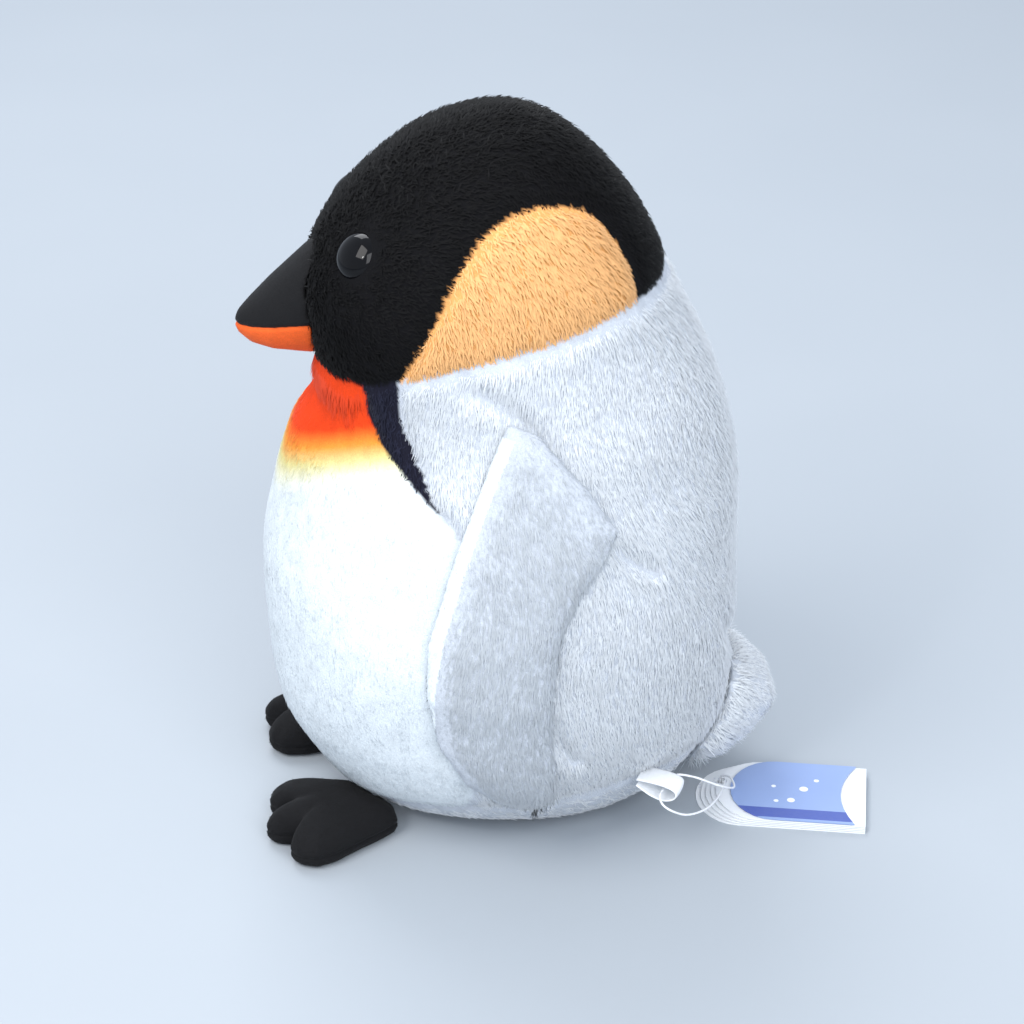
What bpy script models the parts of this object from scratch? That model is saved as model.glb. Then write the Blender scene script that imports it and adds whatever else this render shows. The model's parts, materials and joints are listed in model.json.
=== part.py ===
"""Plush penguin, sewn from skin panels over stuffing, with hinged flippers, feet and tail,
a folded care label and a booklet hang tag on a string.

Metres, +Z up.  The penguin faces -Y, its left side is +X, and it sits on Z = 0.
The pattern is drafted in millimetres at one size and stretched to the body's sizes."""

import math

import bmesh
import bpy
import numpy as np
from mathutils import Matrix, Vector

MM = 0.001

# ---- body sizes
BODY_HEIGHT = 266 * MM
BODY_DEPTH = 174 * MM
BODY_WIDTH = 160 * MM
SKIN = 2.6 * MM              # backing cloth with its pressed pile
BAG_HEIGHT = 34 * MM         # top of the pellet bag above the floor
CLEARANCE = 0.3 * MM         # between touching pieces
SEAM_GAP = 0.4 * MM          # between two panels sewn to each other

# ---- eyes: a dome on a shank, held from inside by a washer
EYE_DIAMETER = 16.5 * MM
EYE_HEIGHT = 5.6 * MM
SHANK_DIAMETER = 5 * MM
SHANK_LENGTH = 12 * MM       # from the skin's outside inwards
WASHER_DIAMETER = 15 * MM
WASHER_THICKNESS = 1.6 * MM

# ---- beak
BEAK_LENGTH = 47.5 * MM      # from its hidden root end to the tip
BEAK_WIDTH = 40 * MM
BEAK_SKIN = 1.5 * MM

# ---- feet
FOOT_LENGTH = 44 * MM
FOOT_WIDTH = 50 * MM
FOOT_HEIGHT = 15 * MM
FOOT_SKIN = 1.2 * MM
FOOT_SPLAY = math.radians(13)
SOLE_SEAM_HEIGHT = 5 * MM

# ---- tail
TAIL_LENGTH = 43 * MM        # from its hidden root end to the tip
TAIL_WIDTH = 62 * MM
TAIL_SKIN = 1.6 * MM

# ---- flippers: lining, wadding and plush outer, laid over the body's side
FLIPPER_CLEARANCE = 0.8 * MM
FLIPPER_LINING = 1.4 * MM
FLIPPER_WADDING = 3.0 * MM
FLIPPER_PLUSH = 1.7 * MM

# ---- care label: a satin ribbon folded into a loop
LABEL_LENGTH = 14.5 * MM
LABEL_WIDTH = 10 * MM
LABEL_LOOP = 6 * MM          # height of the folded loop
LABEL_THICKNESS = 0.5 * MM
LABEL_CLEARANCE = 1.0 * MM   # between its root and the body, for its lift
LABEL_HEADING = math.radians(25)

# ---- hang tag: a booklet of stepped leaves under a shorter cover
TAG_LENGTH = 64 * MM
TAG_WIDTH = 40 * MM
LEAF_THICKNESS = 0.4 * MM
LEAF_COUNT = 5               # back card and inner leaves, without the cover
LEAF_STEP = 1.9 * MM         # each leaf is this much shorter than the one under it
TAG_HOLE_DIAMETER = 4 * MM
TAG_HOLE_INSET = 9.5 * MM    # hole centre from the back card's round end
TAG_HOLE_SIDE = -5 * MM      # and from its middle line
TAG_NOSE = 17 * MM           # length of a leaf's round end
COVER_INSET = 13 * MM        # the cover's round end from the back card's
COVER_SETBACK = 4 * MM       # the corners of its hollowed end from the back card's straight end
COVER_HOLLOW = 5.5 * MM      # depth of that hollow
TAG_TURN = math.radians(-12)
STRING_DIAMETER = 0.8 * MM

# ---- mesh fineness
FORM_RINGS = 22
FORM_SEGMENTS = 32
EYE_RINGS = 5
EYE_SEGMENTS = 20
LEAF_END_POINTS = 15
COVER_END_POINTS = 9
REACH = 400 * MM             # further than any part of the body: the span of a through cut

# ---- the body's pattern, in millimetres at its drafted size
DRAFT_WIDTH, DRAFT_DEPTH, DRAFT_HEIGHT = 160, 174, 266      # BODY_ sizes over these give metres
ROUNDNESS = 2.25             # superellipse exponent of the body's level sections
FORM_ROWS = (                # height, front, back, half width
    (0, -40, 50, 32), (7, -57, 64, 45), (22, -70, 77, 60), (50, -83, 87, 74), (90, -87, 87, 80),
    (126, -82, 86, 77), (147, -76, 84, 72), (165, -64, 80, 68), (182, -64, 72, 65),
    (202, -69, 61, 64), (224, -61, 53, 60), (244, -43, 39, 48), (260, -19, 18, 27), (266, -1, 2, 2),
)
# Seams in side view, each a run of (y, z).
COLLAR_SEAM = ((-120, 176), (-90, 178), (-62, 180), (-50, 184), (-38, 189.5), (-21, 196),
               (-5, 200.5), (12, 204.5), (30, 209), (44, 211), (58, 210.5), (90, 208), (120, 206))
CHEEK_SEAM = ((-38, 189.5), (-27, 210), (-20, 224), (-12, 236), (-1, 244), (15, 246), (29, 241),
              (38, 230), (43, 219), (44, 211))
FRONT_SEAM = ((-50, 184), (-47, 169), (-38, 157), (-26, 146), (-18, 134), (-13, 116), (-12, 79),
              (-13, 51), (-15, 35), (-16, 20.5))
BAND_SEAM = ((-38, 189.5), (-38, 176), (-34, 164), (-26, 146))
BASE_SEAM = ((-120, 10), (-60, 12), (-16, 20.5), (17, 25), (46, 30), (80, 28), (120, 27))

EYE_PLACE = (-52, 227)       # y, z on the face
FACE_RADIUS = 0.35 * BODY_WIDTH          # of the face's curve round the eye
BEAK_ROWS = (                # share of the length from the root, top, bottom, half width share
    (0.00, 230, 178, 1.00), (0.23, 226, 178.5, 0.95), (0.45, 218.5, 179, 0.84),
    (0.72, 207, 180.5, 0.63), (0.88, 199.5, 183, 0.42), (0.97, 195, 186.5, 0.21),
    (1.00, 192, 189, 0.05),
)
BEAK_ROUNDNESS = 2.0         # superellipse exponents of the cones' sections
TAIL_ROUNDNESS = 3.0
CONE_SEGMENTS = 22
LEAST_INSET_SHARE = 0.15     # of a section's size that an inset leaves at a cone's tip
BEAK_ROOT_Y = -45
MOUTH_SEAM = ((-110, 188.5), (-92, 190.5), (-60, 195), (-30, 199))
FOOT_ANKLE = (32, -47)       # x, y of the ankle's middle
FOOT_OUTLINE = (             # share of length from the ankle, share of half width; the outer half
    (-0.12, 0.00), (-0.10, 0.42), (0.06, 0.58), (0.32, 0.78), (0.52, 0.95), (0.70, 1.00), (0.83, 0.86),
    (0.88, 0.66), (0.83, 0.46), (0.72, 0.31), (0.84, 0.25), (0.96, 0.16), (1.00, 0.00),
)
FOOT_ROWS = (                # share of the outline, share of the sole's height, share of the rest's
    (0.55, 0, 0), (0.86, 0, 0), (0.96, 0.3, 0), (1.0, 1, 0), (0.965, 1, 0.32), (0.87, 1, 0.63),
    (0.7, 1, 0.86), (0.4, 1, 1),
)
FOOT_MIDDLE = 0.42           # share of the length about which those outlines shrink
TAIL_ROOT_Y = 60
TAIL_ROWS = (                # share of the length from the root, top, bottom, half width share
    (0.00, 64, 10, 1.00), (0.45, 57, 13, 0.93), (0.74, 49, 22, 0.76), (0.92, 43, 28, 0.60),
    (1.00, 39, 32.5, 0.46),
)
TAIL_SEAM = ((30, 36), (80, 35.5), (130, 35))
FLIPPER_OUTLINE = (          # y, z round the flipper from its top corner, leading edge first
    (-2, 179), (-8, 165), (-21, 132), (-30, 102), (-31, 82), (-27, 60), (-18, 43), (-5, 31), (7, 27),
    (15, 32), (15, 42), (13, 55), (12, 78), (15, 103), (22, 119), (30, 130), (34, 139), (24, 155),
    (8, 174),
)
FLIPPER_SPINE = ((4, 155), (-7, 55))
FLIPPER_ROOT = ((2, 181), (36, 141))     # the shoulder seam the flipper swings on
FLIPPER_BULGE = (            # share of the outline, share of the wadding's full thickness
    (0.22, 1.0), (0.45, 0.9), (0.7, 0.62), (0.86, 0.25),
)
FLIPPER_RIM = (0.88, 0.9, 1.0)           # shares of the outline where the plush comes down to it
RIM_SOFTNESS = 0.2           # share of the wadding's thickness that its rim keeps
LABEL_PROFILE = (            # share of the label's length, share of the loop's height
    (-0.25, 0.10), (0.3, 0.08), (0.72, -0.02), (0.97, -0.3), (0.95, -0.75), (0.7, -1.0), (0.38, -0.85),
    (0.05, -0.42), (-0.25, -0.2),
)
LABEL_PLACE = (47, 32)       # y, z on the left side, just over the base seam
TAG_PLACE = (19.9, 83.2)     # x, y of the hang tag's hole, with the tag flat on the floor
STRING_ROUTE = (             # x, y, z from the tag's hole through the label's loop and back
    (19.1, 82.9, 1.6), (19.5, 83.1, 5), (25.5, 85.5, 8), (38.5, 84.5, 12), (49, 77, 20), (52.5, 67, 26.5),
    (54.6, 59.3, 29), (61.6, 55.2, 29), (68.4, 52.3, 28.8), (72, 54.2, 26.5), (69.5, 61.5, 21.5),
    (59.5, 70, 16.5), (47, 76.5, 12.5), (34, 81.2, 9), (25, 83.6, 6.4), (20.8, 83.7, 4.5), (20.7, 83.6, 1.6),
)

COLOURS = {                  # colour, roughness
    "black_plush": ((0.012, 0.012, 0.014), 0.95), "apricot_plush": ((0.95, 0.47, 0.16), 0.95),
    "navy_plush": ((0.025, 0.026, 0.05), 0.95), "white_plush": ((0.85, 0.88, 0.9), 0.95),
    "grey_plush": ((0.6, 0.64, 0.68), 0.95), "orange_fabric": ((0.9, 0.17, 0.03), 0.9),
    "black_fabric": ((0.01, 0.01, 0.012), 0.95), "wadding": ((0.9, 0.9, 0.88), 1.0),
    "bag_cloth": ((0.8, 0.79, 0.75), 0.95), "black_plastic": ((0.005, 0.005, 0.006), 0.08),
    "washer_plastic": ((0.8, 0.8, 0.8), 0.4), "satin_ribbon": ((0.88, 0.89, 0.9), 0.35),
    "white_card": ((0.88, 0.9, 0.92), 0.5), "blue_card": ((0.26, 0.36, 0.75), 0.45),
    "white_cord": ((0.9, 0.9, 0.9), 0.6),
}


# ---- scene housekeeping

def clear_scene():
    for item in list(bpy.data.objects):
        bpy.data.objects.remove(item, do_unlink=True)


def material(name):
    found = bpy.data.materials.get(name)
    if found:
        return found
    colour, roughness = COLOURS[name]
    made = bpy.data.materials.new(name)
    made.use_nodes = True
    shader = made.node_tree.nodes["Principled BSDF"]
    shader.inputs["Base Color"].default_value = (*colour, 1)
    shader.inputs["Roughness"].default_value = roughness
    shader.inputs["Metallic"].default_value = 0
    return made


def add_object(name, mesh):
    item = bpy.data.objects.new(name, mesh)
    bpy.context.scene.collection.objects.link(item)
    return item


def mesh_from(bm):
    """A mesh of the bmesh with its faces turned outwards."""
    bmesh.ops.recalc_face_normals(bm, faces=bm.faces)
    mesh = bpy.data.meshes.new("shape")
    bm.to_mesh(mesh)
    bm.free()
    return mesh


def finish_piece(name, mesh, colour, origin=Vector((0, 0, 0))):
    """A named piece whose origin is the given point, shaded smooth with sharp seam edges."""
    mesh.transform(Matrix.Translation(-origin))
    mesh.shade_smooth()
    mesh.set_sharp_from_angle(angle=math.radians(35))
    mesh.materials.clear()
    mesh.materials.append(material(colour))
    mesh.name = name
    item = add_object(name, mesh)
    item.location = origin
    return item


# ---- solid operations on meshes

def combine(mesh, cutter, operation="DIFFERENCE", solver="EXACT"):
    """The first mesh cut by, joined with or kept inside the second."""
    target = add_object("target", mesh)
    tool = add_object("tool", cutter)
    step = target.modifiers.new("cut", "BOOLEAN")
    step.operation = operation
    step.solver = solver
    step.object = tool
    graph = bpy.context.evaluated_depsgraph_get()
    graph.update()
    result = bpy.data.meshes.new_from_object(target.evaluated_get(graph))
    bpy.data.objects.remove(target)
    bpy.data.objects.remove(tool)
    return result


def hollow(outer, inner):
    """One mesh of the outer surface with the inner one as the wall of its hollow."""
    bm = bmesh.new()
    bm.from_mesh(inner)
    bmesh.ops.reverse_faces(bm, faces=bm.faces)
    bm.from_mesh(outer)
    mesh = bpy.data.meshes.new("shell")
    bm.to_mesh(mesh)
    bm.free()
    return mesh


def islands(mesh):
    """The separate closed bodies of a mesh, each as a mesh of its own."""
    bm = bmesh.new()
    bm.from_mesh(mesh)
    waiting = set(bm.verts)
    found = []
    while waiting:
        group = {waiting.pop()}
        front = list(group)
        while front:
            for edge in front.pop().link_edges:
                for vert in edge.verts:
                    if vert not in group:
                        group.add(vert)
                        front.append(vert)
        waiting -= group
        found.append({vert.index for vert in group})
    bm.free()
    pieces = []
    for group in found:
        bm = bmesh.new()
        bm.from_mesh(mesh)
        bm.verts.ensure_lookup_table()
        others = [vert for vert in bm.verts if vert.index not in group]
        bmesh.ops.delete(bm, geom=others, context="VERTS")
        piece = bpy.data.meshes.new("panel")
        bm.to_mesh(piece)
        bm.free()
        pieces.append(piece)
    return pieces


def largest(mesh, count=1):
    """The bodies of a mesh with the most vertices, lowest first, without the cut's crumbs."""
    kept = sorted(islands(mesh), key=lambda piece: -len(piece.vertices))[:count]
    return sorted(kept, key=lambda piece: sum(vert.co.z for vert in piece.vertices) / len(piece.vertices))


def nearest_piece(pieces, marker):
    """The piece with a vertex closest to the marker point."""
    return min(pieces, key=lambda mesh: min((vert.co - marker).length for vert in mesh.vertices))


def mirrored(mesh):
    """The same shape on the other side of the plane x = 0."""
    twin = mesh.copy()
    twin.transform(Matrix.Scale(-1, 4, (1, 0, 0)))
    twin.flip_normals()
    return twin


def slice_level(mesh, height, keep_above):
    """The part of a closed mesh above or below a level plane, closed again."""
    bm = bmesh.new()
    bm.from_mesh(mesh)
    everything = bm.verts[:] + bm.edges[:] + bm.faces[:]
    cut = bmesh.ops.bisect_plane(bm, geom=everything, plane_co=(0, 0, height), plane_no=(0, 0, 1),
                                 clear_inner=keep_above, clear_outer=not keep_above)
    rim = [item for item in cut["geom_cut"] if isinstance(item, bmesh.types.BMEdge)]
    bmesh.ops.contextual_create(bm, geom=rim)
    return mesh_from(bm)


# ---- curves

def smooth_rows(rows, count):
    """Rows read off a monotone cubic through the given rows, evenly spaced along their run."""
    table = np.array(rows, float)
    steps = np.hypot(np.diff(table[:, 0]), np.diff(table[:, 1]))
    run = np.concatenate([[0], np.cumsum(steps)])
    wanted = np.linspace(0, run[-1], count)
    span = np.clip(np.searchsorted(run, wanted) - 1, 0, len(steps) - 1)
    t = ((wanted - run[span]) / steps[span])[:, None]
    slope = np.diff(table, axis=0) / steps[:, None]
    tangent = np.vstack([slope[:1], np.zeros_like(slope[1:]), slope[-1:]])
    before, after = slope[:-1], slope[1:]
    same_way = before * after > 0
    mean = 2 * before * after / np.where(same_way, before + after, 1)
    tangent[1:-1] = np.where(same_way, mean, 0)
    start, end = table[span], table[span + 1]
    pull = steps[span][:, None]
    return ((2 * t**3 - 3 * t**2 + 1) * start + (t**3 - 2 * t**2 + t) * pull * tangent[span]
            + (3 * t**2 - 2 * t**3) * end + (t**3 - t**2) * pull * tangent[span + 1])


def curve_through(points, steps, closed=False):
    """Points on a Catmull-Rom curve through the given points."""
    points = [Vector(point) for point in points]
    count = len(points)
    spans = count if closed else count - 1
    made = []
    for index in range(spans):
        if closed:
            a, b, c, d = (points[(index + shift) % count] for shift in (-1, 0, 1, 2))
        else:
            a, b, c, d = (points[min(max(index + shift, 0), count - 1)] for shift in (-1, 0, 1, 2))
        for step in range(steps):
            t = step / steps
            made.append(0.5 * (2 * b + (c - a) * t + (2 * a - 5 * b + 4 * c - d) * t**2
                               + (3 * b - a - 3 * c + d) * t**3))
    if not closed:
        made.append(points[-1])
    return made


# ---- the body's form

def draft_y(y):
    return y * BODY_DEPTH / DRAFT_DEPTH


def draft_z(z):
    return z * BODY_HEIGHT / DRAFT_HEIGHT


def draft_x(x):
    return x * BODY_WIDTH / DRAFT_WIDTH


def side_points(points):
    """Drafted (y, z) points as world (y, z)."""
    return [Vector((draft_y(y), draft_z(z))) for y, z in points]


FINE_ROWS = smooth_rows(FORM_ROWS, 400)


def side_x(y, z):
    """Half width of the body at a world y and z."""
    level = z * DRAFT_HEIGHT / BODY_HEIGHT
    front, back, half = (np.interp(level, FINE_ROWS[:, 0], FINE_ROWS[:, column]) for column in (1, 2, 3))
    offset = (y * DRAFT_DEPTH / BODY_DEPTH - (front + back) / 2) / ((back - front) / 2)
    inside = max(0.0, 1 - abs(offset) ** ROUNDNESS)
    return draft_x(half * inside ** (1 / ROUNDNESS))


def edge_y(x, z, sign):
    """World y of the body's front (sign -1) or back (sign 1) at a world x and z."""
    level = z * DRAFT_HEIGHT / BODY_HEIGHT
    front, back, half = (np.interp(level, FINE_ROWS[:, 0], FINE_ROWS[:, column]) for column in (1, 2, 3))
    inside = max(0.0, 1 - abs(x / draft_x(half)) ** ROUNDNESS)
    return draft_y((front + back) / 2 + sign * (back - front) / 2 * inside ** (1 / ROUNDNESS))


def side_point(y, z):
    """Point on the left side of the body at a world y and z, and its outward normal."""
    nudge = 1 * MM
    point = Vector((side_x(y, z), y, z))
    along = Vector((side_x(y + nudge, z) - side_x(y - nudge, z), 2 * nudge, 0))
    up = Vector((side_x(y, z + nudge) - side_x(y, z - nudge), 0, 2 * nudge))
    return point, along.cross(up).normalized()


def form_mesh(offset):
    """The whole body as one closed surface, moved out along its normals by the offset."""
    bm = bmesh.new()
    rings = []
    for level, front, back, half in smooth_rows(FORM_ROWS, FORM_RINGS):
        middle, reach = (front + back) / 2, (back - front) / 2
        rings.append([bm.verts.new((draft_x(half * across), draft_y(middle - reach * along), draft_z(level)))
                      for across, along in superellipse(ROUNDNESS, FORM_SEGMENTS)])
    skin_rings(bm, rings)
    bmesh.ops.recalc_face_normals(bm, faces=bm.faces)
    bm.normal_update()
    for vert, normal in [(vert, vert.normal.copy()) for vert in bm.verts]:
        vert.co += normal * offset
    return mesh_from(bm)


def skin_rings(bm, rings):
    """Side faces between successive rings, and a face over each end."""
    for low, high in zip(rings, rings[1:]):
        for index in range(len(low)):
            after = (index + 1) % len(low)
            bm.faces.new((low[index], low[after], high[after], high[index]))
    bm.faces.new(reversed(rings[0]))
    bm.faces.new(rings[-1])


# ---- cutters

def seam_blade(points, gap=SEAM_GAP):
    """A thin wall along a side-view seam, reaching through the body from side to side."""
    path = curve_through(side_points(points), 3)
    bm = bmesh.new()
    rows = []
    for index, point in enumerate(path):
        ahead = path[min(index + 1, len(path) - 1)] - path[max(index - 1, 0)]
        sideways = Vector((-ahead.y, ahead.x)).normalized() * gap / 2
        corners = (point - sideways, point + sideways)
        rows.append([bm.verts.new((x, corner.x, corner.y))
                     for x, corner in ((-REACH, corners[0]), (-REACH, corners[1]),
                                       (REACH, corners[1]), (REACH, corners[0]))])
    skin_rings(bm, rows)
    return mesh_from(bm)


def prism(points, low, high):
    """A side-view outline of world (y, z) points, extruded between two x values."""
    bm = bmesh.new()
    skin_rings(bm, [[bm.verts.new((x, point[0], point[1])) for point in points] for x in (low, high)])
    return mesh_from(bm)


def centre_blade():
    """A thin wall on x = 0 through the crown and the back, ending in the collar and base seams."""
    throat = side_points([point for point in COLLAR_SEAM if point[0] < -40])
    rear = side_points([point for point in BASE_SEAM if point[0] > 40])
    above = draft_z(DRAFT_HEIGHT + 60)
    outline = throat + rear + [Vector((rear[-1].x, above)), Vector((throat[0].x, above))]
    return prism(outline, -SEAM_GAP / 2, SEAM_GAP / 2)


def circle(bm, radius, level, segments):
    """A ring of vertices round the Z axis at a level."""
    angles = [2 * math.pi * index / segments for index in range(segments)]
    return [bm.verts.new((radius * math.cos(angle), radius * math.sin(angle), level)) for angle in angles]


def cylinder(point, direction, radius, start, end, segments=20):
    """A round bar on an axis through the point, between two distances along it."""
    turn = direction.to_track_quat("Z", "Y").to_matrix().to_4x4()
    bm = bmesh.new()
    skin_rings(bm, [circle(bm, radius, level, segments) for level in (start, end)])
    bm.transform(Matrix.Translation(point) @ turn)
    return mesh_from(bm)


# ---- body skins and filling

def eye_axis():
    """Where the left eye sits on the face, and the way it looks."""
    return side_point(draft_y(EYE_PLACE[0]), draft_z(EYE_PLACE[1]))


def build_skins():
    shell = hollow(form_mesh(0), form_mesh(-SKIN))
    for seam in (COLLAR_SEAM, CHEEK_SEAM, FRONT_SEAM, BAND_SEAM, BASE_SEAM):
        shell = combine(shell, seam_blade(seam), solver="MANIFOLD")
    shell = combine(shell, centre_blade(), solver="MANIFOLD")
    panels = islands(shell)
    markers = {"hood": (0, 252), "cheek": (15, 225), "side_band": (-42, 172), "back_panel": (50, 110)}
    colours = {"hood": "black_plush", "cheek": "apricot_plush", "side_band": "navy_plush",
               "back_panel": "grey_plush"}
    point, direction = eye_axis()
    for name, (y, z) in markers.items():
        left, _ = side_point(draft_y(y), draft_z(z))
        for side, sign in (("left", 1), ("right", -1)):
            mesh = nearest_piece(panels, Vector((sign * left.x, left.y, left.z)))
            if name == "hood":
                flip = Vector((sign, 1, 1))
                hole = cylinder(point * flip, direction * flip, SHANK_DIAMETER / 2 + CLEARANCE,
                                -4 * SKIN, 2 * SKIN)
                mesh = combine(mesh, hole)
            finish_piece(f"{name}_{side}", mesh, colours[name])
    front = Vector((0, draft_y(-87), draft_z(90)))
    finish_piece("front_panel", nearest_piece(panels, front), "white_plush")
    finish_piece("base_panel", nearest_piece(panels, Vector((0, 0, 0))), "grey_plush")


def washer_depth():
    """Depth of the washer's outer face, where its rim clears the curved skin."""
    sag = (WASHER_DIAMETER / 2) ** 2 / (2 * FACE_RADIUS)
    return SKIN + CLEARANCE + sag


def build_filling():
    filling = form_mesh(-SKIN - CLEARANCE)
    bag = slice_level(filling, BAG_HEIGHT, keep_above=False)
    stuffing = slice_level(filling, BAG_HEIGHT + CLEARANCE, keep_above=True)
    point, direction = eye_axis()
    for sign in (1, -1):
        flip = Vector((sign, 1, 1))
        washer_end = washer_depth() + WASHER_THICKNESS + CLEARANCE
        seat = cylinder(point * flip, direction * flip, WASHER_DIAMETER / 2 + CLEARANCE,
                        -washer_end, 2 * SKIN)
        bore = cylinder(point * flip, direction * flip, SHANK_DIAMETER / 2 + CLEARANCE,
                        -SHANK_LENGTH - CLEARANCE, -washer_end + 2 * CLEARANCE)
        stuffing = combine(combine(stuffing, seat), bore)
    finish_piece("body_stuffing", stuffing, "wadding")
    finish_piece("pellet_bag", bag, "bag_cloth")


def build_eyes():
    point, direction = eye_axis()
    profile = [(EYE_DIAMETER / 2, -2 * SKIN)]
    for ring in range(EYE_RINGS):
        tilt = math.pi / 2 * ring / EYE_RINGS
        profile.append((EYE_DIAMETER / 2 * math.cos(tilt), EYE_HEIGHT * math.sin(tilt)))
    bm = bmesh.new()
    skin_rings(bm, [circle(bm, reach, level, EYE_SEGMENTS) for reach, level in profile])
    turn = direction.to_track_quat("Z", "Y").to_matrix().to_4x4()
    bm.transform(Matrix.Translation(point) @ turn)
    dome = combine(mesh_from(bm), form_mesh(CLEARANCE))
    shank = cylinder(point, direction, SHANK_DIAMETER / 2, -SHANK_LENGTH, EYE_HEIGHT / 2)
    eye = combine(dome, shank, "UNION")
    start = -washer_depth() - WASHER_THICKNESS
    washer = cylinder(point, direction, WASHER_DIAMETER / 2, start, -washer_depth(), 24)
    washer = combine(washer, form_mesh(-SKIN - CLEARANCE), "INTERSECT")
    washer = combine(washer, cylinder(point, direction, SHANK_DIAMETER / 2 + CLEARANCE, 2 * start, SKIN))
    for mesh, name, colour in ((eye, "eye", "black_plastic"), (washer, "eye_washer", "washer_plastic")):
        finish_piece(f"{name}_right", mirrored(mesh), colour)
        finish_piece(f"{name}_left", mesh, colour)


# ---- beak and tail: stuffed cones that grow out of the body

def superellipse(roundness, segments):
    """Pairs of across and along, from -1 to 1, round a superellipse."""
    for index in range(segments):
        angle = 2 * math.pi * index / segments
        yield [math.copysign(abs(value) ** (2 / roundness), value)
               for value in (math.sin(angle), math.cos(angle))]


def cone_mesh(rows, root_y, length, width, roundness, inset):
    """A closed cone along Y from rows of shares of its length, top, bottom and half width."""
    bm = bmesh.new()
    rings = []
    run = length - math.copysign(2 * inset, length)
    for share, top, bottom, wide in rows:
        centre = (draft_z(top) + draft_z(bottom)) / 2
        tall = (draft_z(top) - draft_z(bottom)) / 2
        tall = max(tall - inset, LEAST_INSET_SHARE * tall)
        half = max(width / 2 * wide - inset, LEAST_INSET_SHARE * width / 2 * wide)
        rings.append([bm.verts.new((half * across, root_y + run * share, centre + tall * up))
                      for across, up in superellipse(roundness, CONE_SEGMENTS)])
    skin_rings(bm, rings)
    return mesh_from(bm)


def build_cone(rows, root_y, length, width, roundness, skin, seam):
    """A stuffed cone's lower and upper skin and its stuffing, cut where it meets the body."""
    body = form_mesh(CLEARANCE)

    def cone(inset):
        return cone_mesh(rows, root_y, length, width, roundness, inset)

    shell = combine(hollow(cone(0), cone(skin)), body.copy())
    lower, upper = largest(combine(shell, seam_blade(seam)), 2)
    stuffing, = largest(combine(cone(skin + CLEARANCE), body))
    return lower, upper, stuffing


def build_beak():
    lower, upper, stuffing = build_cone(BEAK_ROWS, draft_y(BEAK_ROOT_Y), -BEAK_LENGTH, BEAK_WIDTH,
                                        BEAK_ROUNDNESS, BEAK_SKIN, MOUTH_SEAM)
    finish_piece("beak_upper", upper, "black_fabric")
    finish_piece("beak_lower", lower, "orange_fabric")
    finish_piece("beak_stuffing", stuffing, "wadding")


def build_tail():
    lower, upper, stuffing = build_cone(TAIL_ROWS, draft_y(TAIL_ROOT_Y), TAIL_LENGTH, TAIL_WIDTH,
                                        TAIL_ROUNDNESS, TAIL_SKIN, TAIL_SEAM)
    level = draft_z(TAIL_ROWS[1][1])
    hinge = Vector((0, edge_y(0, level, 1), level))
    finish_piece("tail_upper", upper, "grey_plush", hinge)
    finish_piece("tail_lower", lower, "grey_plush", hinge)
    finish_piece("tail_stuffing", stuffing, "wadding", hinge)


# ---- feet

def build_feet():
    half = [(FOOT_LENGTH * along, FOOT_WIDTH / 2 * across) for along, across in FOOT_OUTLINE]
    whole = half + [(along, -across) for along, across in reversed(half[1:-1])]
    outline = [Vector(point) for point in whole]
    ankle = Vector((draft_x(FOOT_ANKLE[0]), draft_y(FOOT_ANKLE[1]), 0))
    forward = Vector((math.sin(FOOT_SPLAY), -math.cos(FOOT_SPLAY), 0))
    outward = Vector((math.cos(FOOT_SPLAY), math.sin(FOOT_SPLAY), 0))
    centre = Vector((FOOT_MIDDLE * FOOT_LENGTH, 0))
    seam = SOLE_SEAM_HEIGHT

    def cushion(inset):
        bm = bmesh.new()
        rings = []
        for share, low, high in FOOT_ROWS:
            height = low * seam + high * (FOOT_HEIGHT - seam)
            ring = []
            for point in outline:
                flat = centre + (point - centre) * share
                place = ankle + forward * flat.x + outward * flat.y
                ring.append(bm.verts.new((place.x, place.y, height)))
            rings.append(ring)
        skin_rings(bm, rings)
        bmesh.ops.recalc_face_normals(bm, faces=bm.faces)
        bm.normal_update()
        for vert, normal in [(vert, vert.normal.copy()) for vert in bm.verts]:
            vert.co -= normal * inset
        return mesh_from(bm)

    body = form_mesh(CLEARANCE)
    low, high = seam - SEAM_GAP / 2, seam + SEAM_GAP / 2
    blade = prism([(-REACH, low), (REACH, low), (REACH, high), (-REACH, high)], -REACH, REACH)
    shell = combine(hollow(cushion(0), cushion(FOOT_SKIN)), body.copy())
    sole, upper = largest(combine(shell, blade), 2)
    stuffing, = largest(combine(cushion(FOOT_SKIN + CLEARANCE), body))
    hinge = Vector((ankle.x, edge_y(ankle.x, FOOT_HEIGHT, -1), FOOT_HEIGHT + CLEARANCE))
    for name, mesh, colour in (("upper", upper, "black_fabric"), ("sole", sole, "black_fabric"),
                               ("stuffing", stuffing, "wadding")):
        finish_piece(f"foot_right_{name}", mirrored(mesh), colour, hinge * Vector((-1, 1, 1)))
        finish_piece(f"foot_left_{name}", mesh, colour, hinge)


# ---- flippers

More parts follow.
